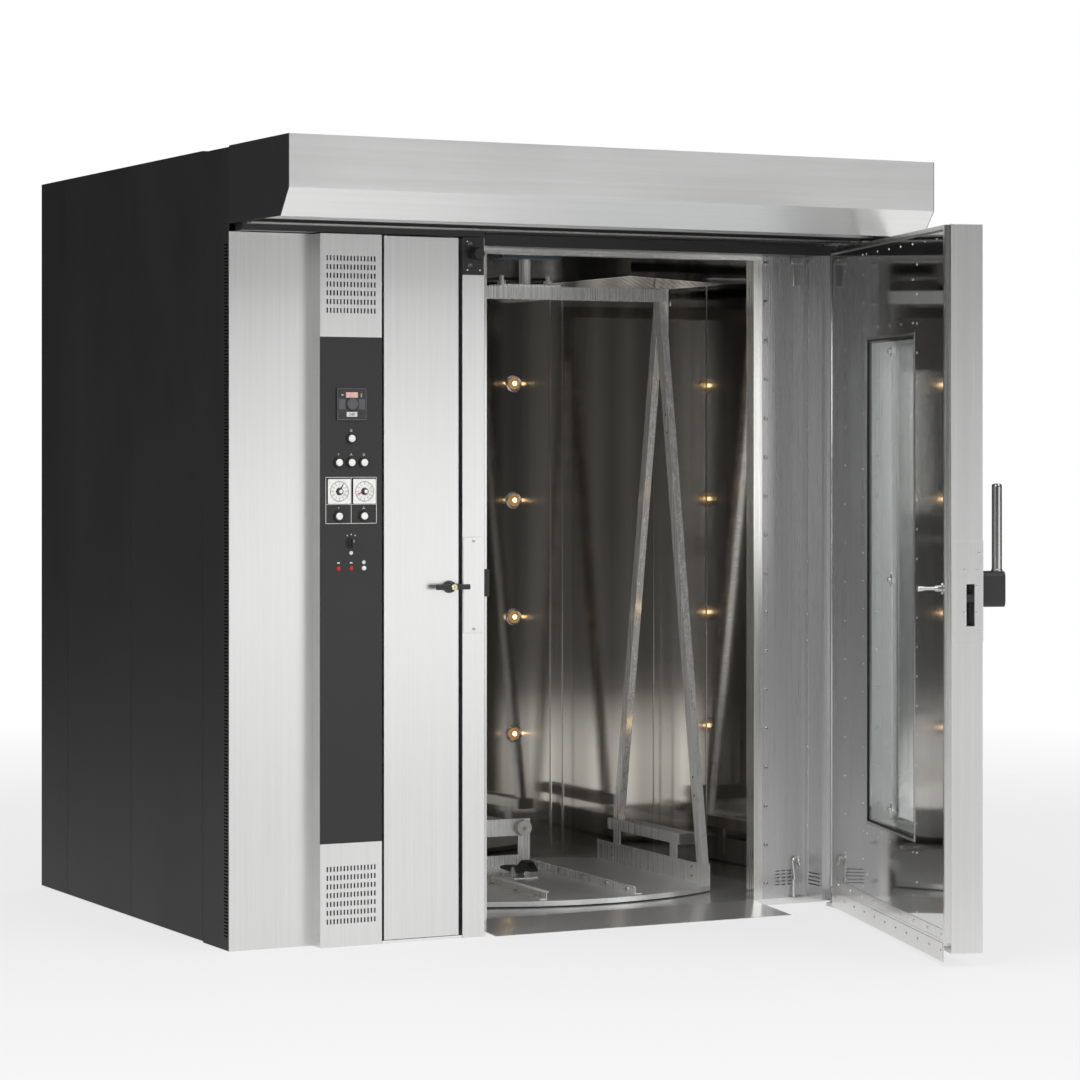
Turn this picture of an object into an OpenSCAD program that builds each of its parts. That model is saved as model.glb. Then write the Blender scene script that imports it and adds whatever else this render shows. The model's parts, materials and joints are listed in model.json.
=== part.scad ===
// Rotating rack oven, door open. Millimetres, Z up.
// Origin: centre of the cabinet's footprint, on the floor. The front faces -Y.

/* [Cabinet] */
// Overall width
body_w = 2160; // [2120:10:2260]
// Depth behind the plane of the left front panel
body_d = 1670; // [1650:10:1800]
// Overall height without the spigot
body_h = 2350; // [2300:10:2500]
// Thickness of the folded sheet metal
sheet_t = 2; // [1.5:0.5:3]
// Depth of the casing trays' folded edges
tray_depth = 20; // [16:1:24]
// Height of the casing trays above the floor
tray_lift = 4; // [2:1:10]
// Width of the gap between two casing trays
seam = 2; // [1:0.5:4]
// Width of the first tray on the left side
first_tray_w = 608; // [560:1:640]
// Width of the second tray on the left side
second_tray_w = 593; // [560:1:620]
// Width of the louvred section at the front of the left side
louvre_panel_w = 206; // [180:1:240]
// Pitch of the louvre slots
louvre_pitch = 10; // [9:1:14]
// Length of a louvre slot
louvre_slot_l = 29; // [20:1:40]
// Height of a louvre slot
louvre_slot_h = 4; // [2:0.5:6]

/* [Front] */
// Distance the control column, doors and post stand proud of the left panel
front_proud = 60; // [50:1:70]
// Height of the front panels
front_h = 2100; // [2060:10:2100]
// Width of the left front panel
side_panel_w = 257; // [230:1:280]
// Gap beside the control column
column_gap = 6; // [4:1:10]
// Width of the control column
column_w = 199; // [195:1:220]
// Gap at the service door's hinge side
service_gap = 7; // [6:1:10]
// Width of the service door
service_w = 245; // [230:1:260]
// Gap at the service door's lock side
lock_gap = 13; // [8:1:16]
// Width of the latch post
post_w = 73; // [66:1:80]
// Lower end of the black fascia
fascia_low = 304; // [280:1:400]
// Upper end of the black fascia
fascia_top = 1795; // [1700:1:1820]
// Thickness of the fascia plate
fascia_t = 3; // [2:0.5:4]
// Columns of slots in each vent grid
vent_columns = 15; // [8:1:18]
// Rows of slots in each vent grid
vent_rows = 7; // [4:1:9]
// Width of a vent slot
vent_slot_w = 4.5; // [3:0.5:6]
// Height of a vent slot
vent_slot_h = 15; // [8:1:18]
// Width of a vent grid
vent_w = 164; // [150:1:170]
// Height of a vent grid
vent_h = 180; // [170:1:200]

/* [Controls] */
// Side of the square temperature controller
controller_w = 96; // [90:1:100]
// Side of the square timers
timer_w = 72; // [66:1:76]
// Radius of the push button caps
button_r = 10.5; // [9:0.5:11]
// Travel of the push buttons
button_travel = 3; // [2:0.5:4]
// Running clearance of sliding caps
cap_play = 0.4; // [0.2:0.1:0.6]
// Radius of the selector knob
selector_r = 12; // [10:0.5:14]
// Radius of the controller knob
controller_knob_r = 19; // [15:0.5:22]
// Radius of the timer knobs
timer_knob_r = 10; // [8:0.5:12]
// Radius of the pilot lamps
pilot_r = 6; // [5:0.5:8]

/* [Hood] */
// Reach of the hood in front of the left panel's plane
hood_reach = 443; // [400:1:480]
// Height of the hood's vertical face
hood_face_h = 151; // [120:1:170]
// Height of the hood's sloping lower face
hood_slope_h = 77; // [60:1:90]
// Setback of the sloping face's lower edge
hood_setback = 61; // [40:1:80]

/* [Door] */
// Gap between post and closed door
edge_gap = 26; // [25:1:30]
// Width of the bay that holds the hinges
hinge_bay_w = 80; // [76:1:90]
// Thickness of the door leaf
leaf_t = 92; // [85:1:96]
// Thickness of the inner door sheet
inner_t = 16; // [12:1:18]
// Gap between the inner door sheet and the stop
stop_gap = 4; // [3:0.5:6]
// Clearance under the door leaf
door_lift = 40; // [38:1:50]
// Angle at which the door stands open
door_open = 72.9; // [0:0.1:105]
// Distance of the hinge pin from the door's edge
pin_out = 32; // [30:1:34]
// Distance of the hinge pin behind the door's outer face
pin_in = 50; // [45:1:54]
// Radius of the hinge pins
pin_r = 12; // [10:0.5:14]
// Radial running clearance of pins and shafts
bore_play = 0.05; // [0.02:0.01:0.1]
// Thickness of the hinge arms
arm_t = 12; // [10:1:12]
// Distance of the window's near side from the hinge edge
window_near = 430; // [380:1:500]
// Distance of the window's far side from the hinge edge
window_far = 938; // [880:1:980]
// Lower edge of the window
window_low = 328; // [260:1:400]
// Upper edge of the window
window_top = 1798; // [1700:1:1860]
// Thickness of the window panes
pane_t = 6; // [4:1:8]
// Height of the handle spindle
handle_z = 1067; // [1040:1:1090]
// Distance of the handle spindle from the door's free edge
handle_in = 59; // [56:1:64]
// Distance the handle stands proud
handle_proud = 74; // [65:1:80]
// Length of the handle bar above the hub
handle_bar_l = 244; // [200:1:260]
// Radius of the handle bar
handle_bar_r = 14; // [12:0.5:16]
// Travel of the latch bolt
bolt_travel = 18; // [16:1:19]
// Travel of the inner release rod
release_travel = 10; // [6:1:12]

/* [Throat] */
// Depth of the throat between door stop and chamber front
throat_depth = 98; // [90:1:110]
// Overlap of the closed door on the throat's returns
throat_lap = 18; // [16:1:22]
// Width of the bright trim round the opening
trim_w = 31; // [24:1:40]
// Depth of the bright trim round the opening
trim_d = 46; // [36:1:50]
// Width of the plate left of the opening
plate_left_w = 37; // [30:1:60]
// Width of the plate right of the opening
plate_right_w = 165; // [140:1:175]
// Reach of the ramp in front of the left panel's plane
ramp_reach = 86; // [60:1:100]
// Width of the ramp's strip that is left free at the hinge side
ramp_free = 217; // [200:1:230]

/* [Chamber] */
// Thickness of the floor
floor_t = 20; // [16:1:20]
// Thickness of the insulated right wall
wall_t = 60; // [50:1:60]
// Thickness of the insulated back wall
back_wall_t = 150; // [120:1:150]
// Height of the chamber ceiling
ceiling_z = 2100; // [2100:1:2120]
// Thickness of the insulated ceiling
ceiling_t = 80; // [60:1:90]
// Depth of the air plenum at the left wall
plenum_w = 140; // [130:1:150]
// Height of the lowest oven lamp
lamp_low = 460; // [400:1:560]
// Distance between the oven lamps
lamp_pitch = 412; // [380:1:430]
// Radius of an oven lamp lens
lamp_r = 22; // [18:1:26]

/* [Turntable] */
// Distance of the turntable axis behind the left panel's plane
axis_depth = 830; // [826:1:840]
// Angle at which the turntable stands
table_turn = 2.5; // [0:0.5:10]
// Width of the platform
platform_w = 936; // [900:1:940]
// Depth of the platform at its middle
platform_d = 1120; // [1080:1:1130]
// Radius of the platform's front and rear arcs
platform_arc_r = 865; // [800:5:900]
// Height of the platform's lip
lip_h = 16; // [12:1:18]
// Gap between floor and platform
platform_gap = 4; // [3:0.5:6]
// Thickness of platform, rails and skirts
plate_t = 4; // [3:0.5:5]
// Distance between the rack rails
rail_gauge = 310; // [280:1:340]
// Height of a rack rail
rail_h = 27; // [22:1:32]
// Width of a rack rail's foot
rail_w = 25; // [18:1:32]
// Height of the side skirts
skirt_h = 65; // [50:1:75]
// Height of the bumper beams above the floor
bumper_z = 150; // [140:1:160]
// Width of a bumper beam
bumper_w = 60; // [54:1:66]
// Height of a bumper beam
bumper_h = 37; // [30:1:44]
// Height of the top beam's underside
beam_z = 1962; // [1900:1:1980]
// Height of the top beam
beam_h = 41; // [34:1:48]
// Width of the top beam
beam_w = 60; // [50:1:70]
// Width of a leg's channel
leg_w = 40; // [32:1:46]
// Depth of a leg's channel
leg_d = 24; // [18:1:30]
// Distance of the legs' feet from the middle
foot_y = 313; // [280:1:330]
// Radius of the drive shaft
shaft_r = 20; // [16:1:24]
// Radius of the floor pivot
pivot_r = 15; // [12:1:18]

/* [Hidden] */
$fn = 48;
eps = 0.01;

// The cabinet's sides and the planes of its front
left = -body_w / 2;
right = body_w / 2;
front = -body_d / 2;
back = body_d / 2;
face = front - front_proud;

// The row of pieces along the front
column_x = left + side_panel_w + column_gap;
service_x = column_x + column_w + service_gap;
post_x = service_x + service_w + lock_gap;
post_r = post_x + post_w;
door_l = post_r + edge_gap;
door_r = right - hinge_bay_w;
pin_x = door_r + pin_out;
pin_y = face + pin_in;
inner_y = face + leaf_t;
seal_y = inner_y + inner_t;
stop_y = seal_y + stop_gap;

// The throat and the chamber
plate_y = stop_y + throat_depth;
chamber_front = plate_y + trim_d;
return_l = door_l + throat_lap;
return_r = door_r - throat_lap;
open_l = return_l + plate_left_w + trim_w;
open_r = return_r - plate_right_w - trim_w;
axis_x = (open_l + open_r) / 2;
axis_y = front + axis_depth;
chamber_r = right - tray_depth - wall_t;
chamber_l = 2 * axis_x - chamber_r;
chamber_back = back - tray_depth - back_wall_t;
plenum_x = chamber_l - plenum_w;
lining_top = ceiling_z + ceiling_t;
door_top = front_h;
throat_top = door_top - 16;
open_top = throat_top - 16;
band_z = door_top + arm_t + 6;
arm_low = door_lift - arm_t;

// The controls' places across and up the fascia
fascia_mid = column_x + column_w / 2;
button_place = [[0, 1496], [-40.5, 1425], [0, 1425], [40.5, 1425], [-40.5, 1267], [40.5, 1267]];
timer_place = [[-40.5, 1340], [40.5, 1340]];
selector_z = 1187;
controller_z = 1597;
pilot_x = [-41, 0, 41];
pilot_z = 1113;
bezel_wall = 4.5;
bezel_h = 5;
knob_stem_r = 3;

// The service door's pivots and lock
service_t = 25;
service_z = 10;
sill_t = 8;
sill_x = service_x - 5;
service_top = front_h - 3;
service_pin = [service_x + 12, face + 12];
service_pin_r = 4;
wing_x = service_x + service_w - 32;
wing_z = 1053;
wing_shaft_r = 7;
cam_l = 53;

// The lock
bolt_z = [1028, 1056];
bolt_y = face + 36;
bolt_w = 23.4;
bolt_l = 34;
slot_z = [964, 1083];
slot_w = 24;
release_z = 1070;
release_in = 39;
release_r = 5;
lock_plate_t = 1.5;
handle_x = door_l + handle_in;
spindle_r = 8;

// The turntable, measured from its axis
platform_z = floor_t + platform_gap;
deck_z = platform_z + lip_h;
arc_off = platform_arc_r - platform_d / 2;
skirt_x = platform_w / 2;
skirt_l = 2 * (sqrt(platform_arc_r * platform_arc_r - skirt_x * skirt_x) - arc_off);
leg_x = skirt_x + 33;
beam_top = beam_z + beam_h;
hub_t = 6;
foot_shelf_z = 101;
rear_stop_y = 309;
rear_foot = 40;
catch_place = [0, 60, deck_z + plate_t];
catch_w = 28;
catch_pivot_z = 18;
catch_pin_r = 5;

lamp_z = [for (i = [0:3]) lamp_low + i * lamp_pitch];
lamp_x = axis_x + 296;
spigot_r = 75;
spigot_h = 60;
spigot_setback = 420;
spigot_y = axis_y + spigot_setback;

// The fittings on the latch post and the vents in the column
keeper_plate_z = [913, 1201];
keeper_z = [1021, 1103];
keeper_reach = 22;
vent_knob_x = post_x + 39;
vent_knob_z = front_h - 50;
vent_knob_stem_r = 5;
vent_plate_z = front_h - 113;
vent_z = [152, front_h - 150];

// The circulation fan
fan_z = 1650;
fan_r = 210;
fan_shaft_r = 14;
fan_x = plenum_x + 45;
fan_w = 70;

// ---- Shared shapes ----

// A box between two corners
module span(a, b) {
    translate(a) cube([b[0] - a[0], b[1] - a[1], b[2] - a[2]]);
}

// A tray that lies on z = 0 with its folded edges down, size w by h
module tray(w, h) {
    difference() {
        translate([0, 0, -tray_depth]) cube([w, h, tray_depth]);
        translate([sheet_t, sheet_t, -tray_depth - 1])
            cube([w - 2 * sheet_t, h - 2 * sheet_t, tray_depth + 1 - sheet_t]);
    }
}

// A round bar along -Y from y = 0
module toward_front(h, r, r2 = undef) {
    rotate([90, 0, 0]) cylinder(h = h, r1 = r, r2 = r2 == undef ? r : r2);
}

// Places what is drawn for a closed door on the open door
module on_door() {
    translate([pin_x, pin_y, 0]) rotate(door_open) translate([-pin_x, -pin_y, 0]) children();
}

// Places what is measured from the turntable's axis
module on_table() {
    translate([axis_x, axis_y, 0]) rotate(-table_turn) children();
}

// A rounded rectangle in the plane, centred
module rounded(w, h, r) {
    union() {
        square([w - 2 * r, h], center = true);
        square([w, h - 2 * r], center = true);
        for (x = [-1, 1], y = [-1, 1]) translate([x * (w / 2 - r), y * (h / 2 - r)]) circle(r);
    }
}

// ---- Cabinet ----

module floor_pan() {
    color("dimgray") {
        linear_extrude(floor_t) polygon([
            [left + tray_depth, front + sheet_t], [post_x, front + sheet_t],
            [post_x, plate_y], [right - tray_depth, plate_y],
            [right - tray_depth, back - tray_depth], [left + tray_depth, back - tray_depth]]);
        translate([axis_x, axis_y, floor_t - eps]) cylinder(h = 12, r = pivot_r);
        span([sill_x, face + sheet_t, 0], [post_x - 1, front + sheet_t + eps, sill_t]);
        translate([service_pin[0], service_pin[1], sill_t - eps]) cylinder(h = 12, r = service_pin_r);
    }
}

module air_plenum() {
    wall = 3;
    slot_rows = 9;
    slot_pitch = (ceiling_z - 500) / slot_rows;
    color("silver") difference() {
        span([plenum_x, chamber_front, floor_t], [chamber_l, chamber_back, ceiling_z]);
        span([plenum_x + wall, chamber_front + wall, floor_t + wall],
             [chamber_l - wall, chamber_back - wall, ceiling_z - wall]);
        for (row = [0:slot_rows - 1], side = [-1, 1])
            translate([chamber_l - wall - 1, axis_y + side * 330 - 60, 250 + row * slot_pitch])
                cube([wall + 2, 120, 40]);
        translate([plenum_x - 1, axis_y, fan_z]) rotate([0, 90, 0])
            cylinder(h = wall + 2, r = fan_shaft_r + 6);
    }
}

module chamber_lining() {
    seam_w = 3;
    rear_strips = [246, 197];
    side_strips = [-3, 368];
    color("gainsboro") difference() {
        union() {
            span([plenum_x, chamber_back, floor_t],
                 [right - tray_depth, back - tray_depth, lining_top]);
            span([chamber_r, chamber_front, floor_t],
                 [right - tray_depth, chamber_back + eps, lining_top]);
            span([plenum_x, chamber_front, ceiling_z],
                 [chamber_r + eps, chamber_back + eps, lining_top]);
        }
        for (in = rear_strips)
            translate([chamber_r - in, chamber_back - 1, floor_t + 5])
                cube([seam_w, 3, ceiling_z - floor_t - 10]);
        for (off = side_strips)
            translate([chamber_r - 1, axis_y + off, floor_t + 5])
                cube([3, seam_w, ceiling_z - floor_t - 10]);
        for (z = lamp_z)
            translate([lamp_x, chamber_back + 30, z]) toward_front(31, lamp_r - 4);
        translate([axis_x, axis_y, ceiling_z - 1]) cylinder(h = ceiling_t + 2, r = shaft_r + 8);
    }
}

// The trays of one side, from y = start to the back, facing +X or -X
module side_trays(start, facing) {
    first = front + louvre_panel_w + seam + first_tray_w;
    cuts = [start, first, first + second_tray_w, back];
    for (i = [0:2]) {
        w = cuts[i + 1] - cuts[i] - (i < 2 ? seam : 0);
        if (facing < 0)
            translate([left, cuts[i] + w, tray_lift]) rotate([0, -90, 0]) rotate([0, 0, -90])
                tray(w, body_h - tray_lift);
        else
            translate([right, cuts[i], tray_lift]) rotate([90, 0, 90])
                tray(w, body_h - tray_lift);
    }
}

module casing_left() {
    color("#1c1c1d") side_trays(front + louvre_panel_w + seam, -1);
}

module casing_right() {
    color("#1c1c1d") side_trays(stop_y, 1);
}

module casing_back() {
    count = 3;
    pitch = (body_w - 2 * tray_depth) / count;
    color("#1c1c1d") for (i = [0:count - 1])
        translate([left + tray_depth + i * pitch, back, tray_lift]) rotate([90, 0, 0]) mirror([0, 0, 1])
            tray(pitch - (i < count - 1 ? seam : 0), body_h - tray_lift);
}

module louvre_panel() {
    top = body_h - 4;
    rows = floor(2030 / louvre_pitch);
    color("#1c1c1d") {
        translate([left + sheet_t, front + sheet_t, 0]) rotate([0, -90, 0]) linear_extrude(sheet_t)
            difference() {
                square([top, louvre_panel_w - sheet_t]);
                for (i = [0:rows - 1])
                    translate([40 + i * louvre_pitch, 7]) square([louvre_slot_h, louvre_slot_l]);
            }
        span([left, front + louvre_panel_w - sheet_t, 0],
             [left + tray_depth, front + louvre_panel_w, top]);
        span([left, front + sheet_t, top - sheet_t],
             [left + tray_depth, front + louvre_panel_w, top]);
        span([left, front + sheet_t, 0], [left + tray_depth, front + louvre_panel_w, sheet_t]);
    }
}

module roof_panel() {
    color("#2a2a2b") difference() {
        union() {
            translate([left + tray_depth, front, body_h])
                tray(body_w - 2 * tray_depth, body_d - tray_depth);
            translate([axis_x, spigot_y, body_h - sheet_t]) cylinder(h = spigot_h + sheet_t, r = spigot_r);
            translate([axis_x, spigot_y, body_h - eps]) cylinder(h = 4, r = spigot_r + 22);
        }
        translate([axis_x, spigot_y, body_h - tray_depth]) cylinder(h = 200, r = spigot_r - 2);
    }
}

// The left panel and the sheet behind the column and the service door, notched for the door's sill
module front_panel() {
    color("silver") {
        difference() {
            span([left, front, 0], [post_x, front + sheet_t, front_h]);
            span([sill_x - 0.3, front - 1, -1], [post_x + 1, front + sheet_t + 1, sill_t + 0.3]);
        }
        span([left + tray_depth, front + sheet_t - eps, front_h - sheet_t],
             [post_x, front + 30, front_h]);
        span([left + sheet_t, front + sheet_t - eps, floor_t + 2],
             [left + sheet_t + 2, front + 8, front_h]);
    }
}

module vent_cuts(z) {
    pitch_x = vent_w / vent_columns;
    pitch_z = vent_h / vent_rows;
    for (i = [0:vent_columns - 1], j = [0:vent_rows - 1])
        translate([fascia_mid - vent_w / 2 + (i + 0.5) * pitch_x - vent_slot_w / 2, face - 1,
                   z - vent_h / 2 + (j + 0.5) * pitch_z - vent_slot_h / 2])
            cube([vent_slot_w, sheet_t + 2, vent_slot_h]);
}

module control_column() {
    margin = 12;
    color("lightgray") difference() {
        span([column_x, face, 0], [column_x + column_w, front, front_h - 1]);
        span([column_x + sheet_t, face + sheet_t, sheet_t],
             [column_x + column_w - sheet_t, front + 1, front_h - 1 - sheet_t]);
        span([column_x - 1, face - 1, fascia_low],
             [column_x + column_w + 1, face + fascia_t, fascia_top]);
        for (z = vent_z) vent_cuts(z);
    }
}

// The round holes that push buttons, selector and pilot lamps need in the fascia
module fascia_holes() {
    for (p = button_place) translate([fascia_mid + p[0], face + 10, p[1]])
        toward_front(20, button_r + bezel_wall + 0.3);
    translate([fascia_mid, face + 10, selector_z]) toward_front(20, selector_r + 0.3);
    for (x = pilot_x) translate([fascia_mid + x, face + 10, pilot_z]) toward_front(20, pilot_r - 0.7);
}

module control_fascia() {
    color("#202021") difference() {
        union() {
            span([column_x, face, fascia_low], [column_x + column_w, face + fascia_t, fascia_top]);
            for (x = [column_x + sheet_t, column_x + column_w - 2 * sheet_t])
                span([x, face + fascia_t - eps, fascia_low + 20], [x + sheet_t, face + 20, fascia_top - 20]);
        }
        translate([fascia_mid - controller_w / 2 + 2.5, face - 1, controller_z - controller_w / 2 + 2.5])
            cube([controller_w - 5, 30, controller_w - 5]);
        for (p = timer_place)
            translate([fascia_mid + p[0] - timer_w / 2 + 2.5, face - 1, p[1] - timer_w / 2 + 2.5])
                cube([timer_w - 5, 30, timer_w - 5]);
        fascia_holes();
    }
}

// A square panel instrument: bezel in front of the fascia, body behind it, bore for a knob's stem
module instrument(w, z, depth) {
    translate([0, face, z]) difference() {
        union() {
            rotate([90, 0, 0]) linear_extrude(bezel_h) rounded(w, w, 3);
            translate([-(w - 6) / 2, -eps, -(w - 6) / 2]) cube([w - 6, depth, w - 6]);
        }
        translate([0, 1, 0]) toward_front(bezel_h + 2, w / 2 - 6);
        translate([0, 20, 0]) toward_front(30, knob_stem_r + bore_play);
    }
    translate([0, face + 1, z]) difference() {
        toward_front(2, w / 2 - 6);
        translate([0, 1, 0]) toward_front(4, knob_stem_r + bore_play);
    }
}

// A round bezel with a barrel behind it, open for a cap or a stem
module bezel(r, bore) {
    difference() {
        union() {
            toward_front(bezel_h, r + bezel_wall + 2, r + bezel_wall + 1);
            translate([0, 20, 0]) toward_front(20 + eps, r + bezel_wall);
        }
        translate([0, 21, 0]) toward_front(60, bore);
    }
}

module instruments() {
    color("#2b2b2c") {
        translate([fascia_mid, 0, 0]) instrument(controller_w, controller_z, 45);
        for (p = timer_place) translate([fascia_mid + p[0], 0, 0]) instrument(timer_w, p[1], 40);
        for (p = button_place) translate([fascia_mid + p[0], face, p[1]]) bezel(button_r, button_r + cap_play);
        translate([fascia_mid, face, selector_z]) difference() {
            union() {
                toward_front(4, selector_r + 5, selector_r + 4);
                translate([0, 20, 0]) toward_front(20 + eps, selector_r);
            }
            translate([0, 21, 0]) toward_front(60, knob_stem_r + bore_play);
        }
    }
}

module indicator_lamps() {
    color("#c33529") for (x = pilot_x) translate([fascia_mid + x, face, pilot_z]) {
        toward_front(2.5, pilot_r + 1.5);
        translate([0, -2.5 + eps, 0]) toward_front(2.5, pilot_r - 0.5, pilot_r - 2);
        translate([0, 12, 0]) toward_front(12 + eps, pilot_r - 1);
    }
}

module latch_post() {
    wall = 3;
    color("silver") difference() {
        union() {
            span([post_x, face, 0], [post_r, stop_y, front_h - 1]);
            span([post_x + 2, face - 2, keeper_plate_z[0]], [post_r - 1, face + eps, keeper_plate_z[1]]);
        }
        span([post_x + wall, face + wall, wall], [post_r - wall, stop_y - wall, front_h - 1 - wall]);
        span([post_x - 1, face + service_t + 1, wing_z - 36],
             [post_x + wall + 1, face + service_t + 15, wing_z + 10]);
        translate([vent_knob_x, face + wall + 1, vent_knob_z]) toward_front(wall + 2, vent_knob_stem_r + 1);
    }
}

// The black keeper block on the post's side and the black plate of the vent knob
module post_fittings() {
    color("#222223") {
        difference() {
            span([post_r, face + 10, keeper_z[0]], [post_r + keeper_reach, face + 60, keeper_z[1]]);
            span([post_r + 6, bolt_y - bolt_w / 2 - 2, bolt_z[0] - 4],
                 [post_r + keeper_reach + 1, bolt_y + bolt_w / 2 + 2, bolt_z[1] + 4]);
        }
        difference() {
            span([post_x, face - 3, vent_plate_z], [post_r - 3, face, front_h]);
            translate([vent_knob_x, face + 1, vent_knob_z]) toward_front(5, vent_knob_stem_r + bore_play);
        }
    }
}

module lintel() {
    shelf = face + 4;
    color("#303031") {
        translate([left + tray_depth, 0, 0]) rotate([90, 0, 90])
            linear_extrude(body_w - 2 * tray_depth) polygon([
                [stop_y + eps, band_z], [stop_y + eps, body_h - tray_depth],
                [front + sheet_t, body_h - tray_depth],
                [front + sheet_t, lining_top], [shelf, lining_top], [shelf, band_z]]);
        span([post_x, stop_y, throat_top], [right - tray_depth, chamber_front, lining_top]);
        span([left + tray_depth, shelf, front_h + 2], [post_r, front + sheet_t, band_z + eps]);
        translate([service_pin[0], service_pin[1], service_top - 12])
            cylinder(h = front_h + 2 - service_top + 12 + eps, r = service_pin_r);
    }
}

module jamb_left() {
    color("darkgray") translate([0, 0, floor_t]) linear_extrude(throat_top - floor_t) polygon([
        [post_x, stop_y], [return_l, stop_y], [return_l, plate_y], [open_l - trim_w, plate_y],
        [open_l - trim_w, chamber_front], [plenum_x, chamber_front],
        [plenum_x, chamber_front - 30], [post_x, chamber_front - 30]]);
}

module jamb_right() {
    slot_h = 4;
    color("darkgray") difference() {
        translate([0, 0, floor_t]) linear_extrude(throat_top - floor_t) polygon([
            [right - tray_depth, stop_y], [return_r, stop_y], [return_r, plate_y],
            [open_r + trim_w, plate_y], [open_r + trim_w, chamber_front],
            [right - tray_depth, chamber_front]]);
        for (row = [0:4], col = [0:2])
            translate([open_r + trim_w + 50 + col * 22, plate_y - 1, 62 + row * 11])
                cube([15, 13, slot_h]);
        for (row = [0:3])
            translate([return_r - 1, stop_y + 12, 62 + row * 12]) cube([13, throat_depth - 24, slot_h]);
    }
}

module throat_trim() {
    groove = 3;
    color("gainsboro") {
        for (x = [open_l - trim_w, open_r]) difference() {
            span([x, plate_y, floor_t], [x + trim_w, chamber_front, throat_top]);
            for (y = [plate_y + 12, plate_y + 26])
                span([x - 1, y, floor_t + 10], [x + 1.5, y + groove, throat_top - 30]);
        }
        span([open_l - eps, plate_y, open_top], [open_r + eps, chamber_front, throat_top]);
    }
}

module hood() {
    lip = 14;
    z1 = body_h - hood_face_h;
    z0 = z1 - hood_slope_h;
    y1 = front - hood_reach;
    y0 = y1 + hood_setback;
    outline = [[y1, z1], [y1, body_h], [front, body_h], [front, z0], [y0, z0]];
    color("silver") {
        translate([left, 0, 0]) rotate([90, 0, 90]) linear_extrude(body_w) polygon([
            [y1, z1], [y1, body_h], [front, body_h], [front, body_h - sheet_t],
            [y1 + sheet_t, body_h - sheet_t], [y1 + sheet_t, z1 + 0.4], [y0 + sheet_t, z0 + sheet_t],
            [y0 + lip, z0 + sheet_t], [y0 + lip, z0], [y0, z0]]);
        for (x = [left, right - sheet_t])
            translate([x, 0, 0]) rotate([90, 0, 90]) linear_extrude(sheet_t) polygon(outline);
        for (x = [left + body_w / 3, left + body_w * 2 / 3])
            translate([x, 0, 0]) rotate([90, 0, 90]) linear_extrude(sheet_t) polygon([
                [y1 + sheet_t - eps, z1 + 30], [y1 + sheet_t - eps, body_h - 1],
                [front, body_h - 1], [front, body_h - 40], [y1 + 60, body_h - 60]]);
        span([left + sheet_t - eps, face - 40, z0 + 12], [right - sheet_t + eps, face - 38, z0 + 30]);
    }
}

module hinge_brackets() {
    plate_t2 = 3;
    color("darkgray") {
        span([pin_x - 70, pin_y - 32, band_z - plate_t2], [right - tray_depth, stop_y - 4, band_z]);
        translate([pin_x, pin_y, door_top + 1]) cylinder(h = band_z - door_top - 1 - plate_t2 + eps, r = pin_r);
        span([pin_x - 34, pin_y - 34, 0], [right - 4, stop_y, 12]);
        span([pin_x - 20, stop_y - 6, 12 - eps], [right - tray_depth, stop_y, 90]);
        translate([pin_x, pin_y, 12 - eps]) cylinder(h = arm_low - 12 - 0.3 + eps, r = pin_r + 10);
        translate([pin_x, pin_y, 12]) cylinder(h = door_lift - 12, r = pin_r);
    }
}

module ramp() {
    tail = front - ramp_reach;
    rise = floor_t;
    length = plate_y - tail;
    w = return_r - ramp_free - door_l + throat_lap;
    color("silver") translate([door_l, 0, 0]) rotate([90, 0, 90]) linear_extrude(w) polygon([
        [tail, 0], [tail + 12, 0], [plate_y - 4, rise - 5], [plate_y - 4, 0], [plate_y, 0],
        [plate_y, rise], [tail, 1.5]]);
}

module oven_lamps() {
    color("#ffd9a0") for (z = lamp_z) translate([lamp_x, chamber_back, z]) {
        toward_front(4, lamp_r, lamp_r - 1);
        translate([0, -4 + eps, 0]) toward_front(5, lamp_r - 5, lamp_r - 12);
        translate([0, 26, 0]) toward_front(26 + eps, lamp_r - 4.3);
    }
}

module ceiling_duct() {
    duct_w = 367;
    duct_start = -140;
    duct_l = chamber_r - duct_w;
    y1 = axis_y + duct_start;
    y2 = chamber_back;
    drop = [60, 80];
    wall = 2;
    color("gray") difference() {
        translate([0, y2, 0]) rotate([90, 0, 0]) linear_extrude(y2 - y1) polygon([
            [duct_l, ceiling_z], [duct_l, ceiling_z - drop[0]], [chamber_r, ceiling_z - drop[1]],
            [chamber_r, ceiling_z]]);
        translate([0, y2 - wall, 0]) rotate([90, 0, 0]) linear_extrude(y2 - y1 - 2 * wall) polygon([
            [duct_l + wall, ceiling_z + 1], [duct_l + wall, ceiling_z - drop[0] + wall],
            [chamber_r - wall, ceiling_z - drop[1] + wall], [chamber_r - wall, ceiling_z + 1]]);
        for (i = [0:11], j = [0:19])
            translate([duct_l + 24 + i * 28, y1 + 30 + j * 38, ceiling_z - 100]) cube([14, 24, 60]);
    }
}

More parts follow.
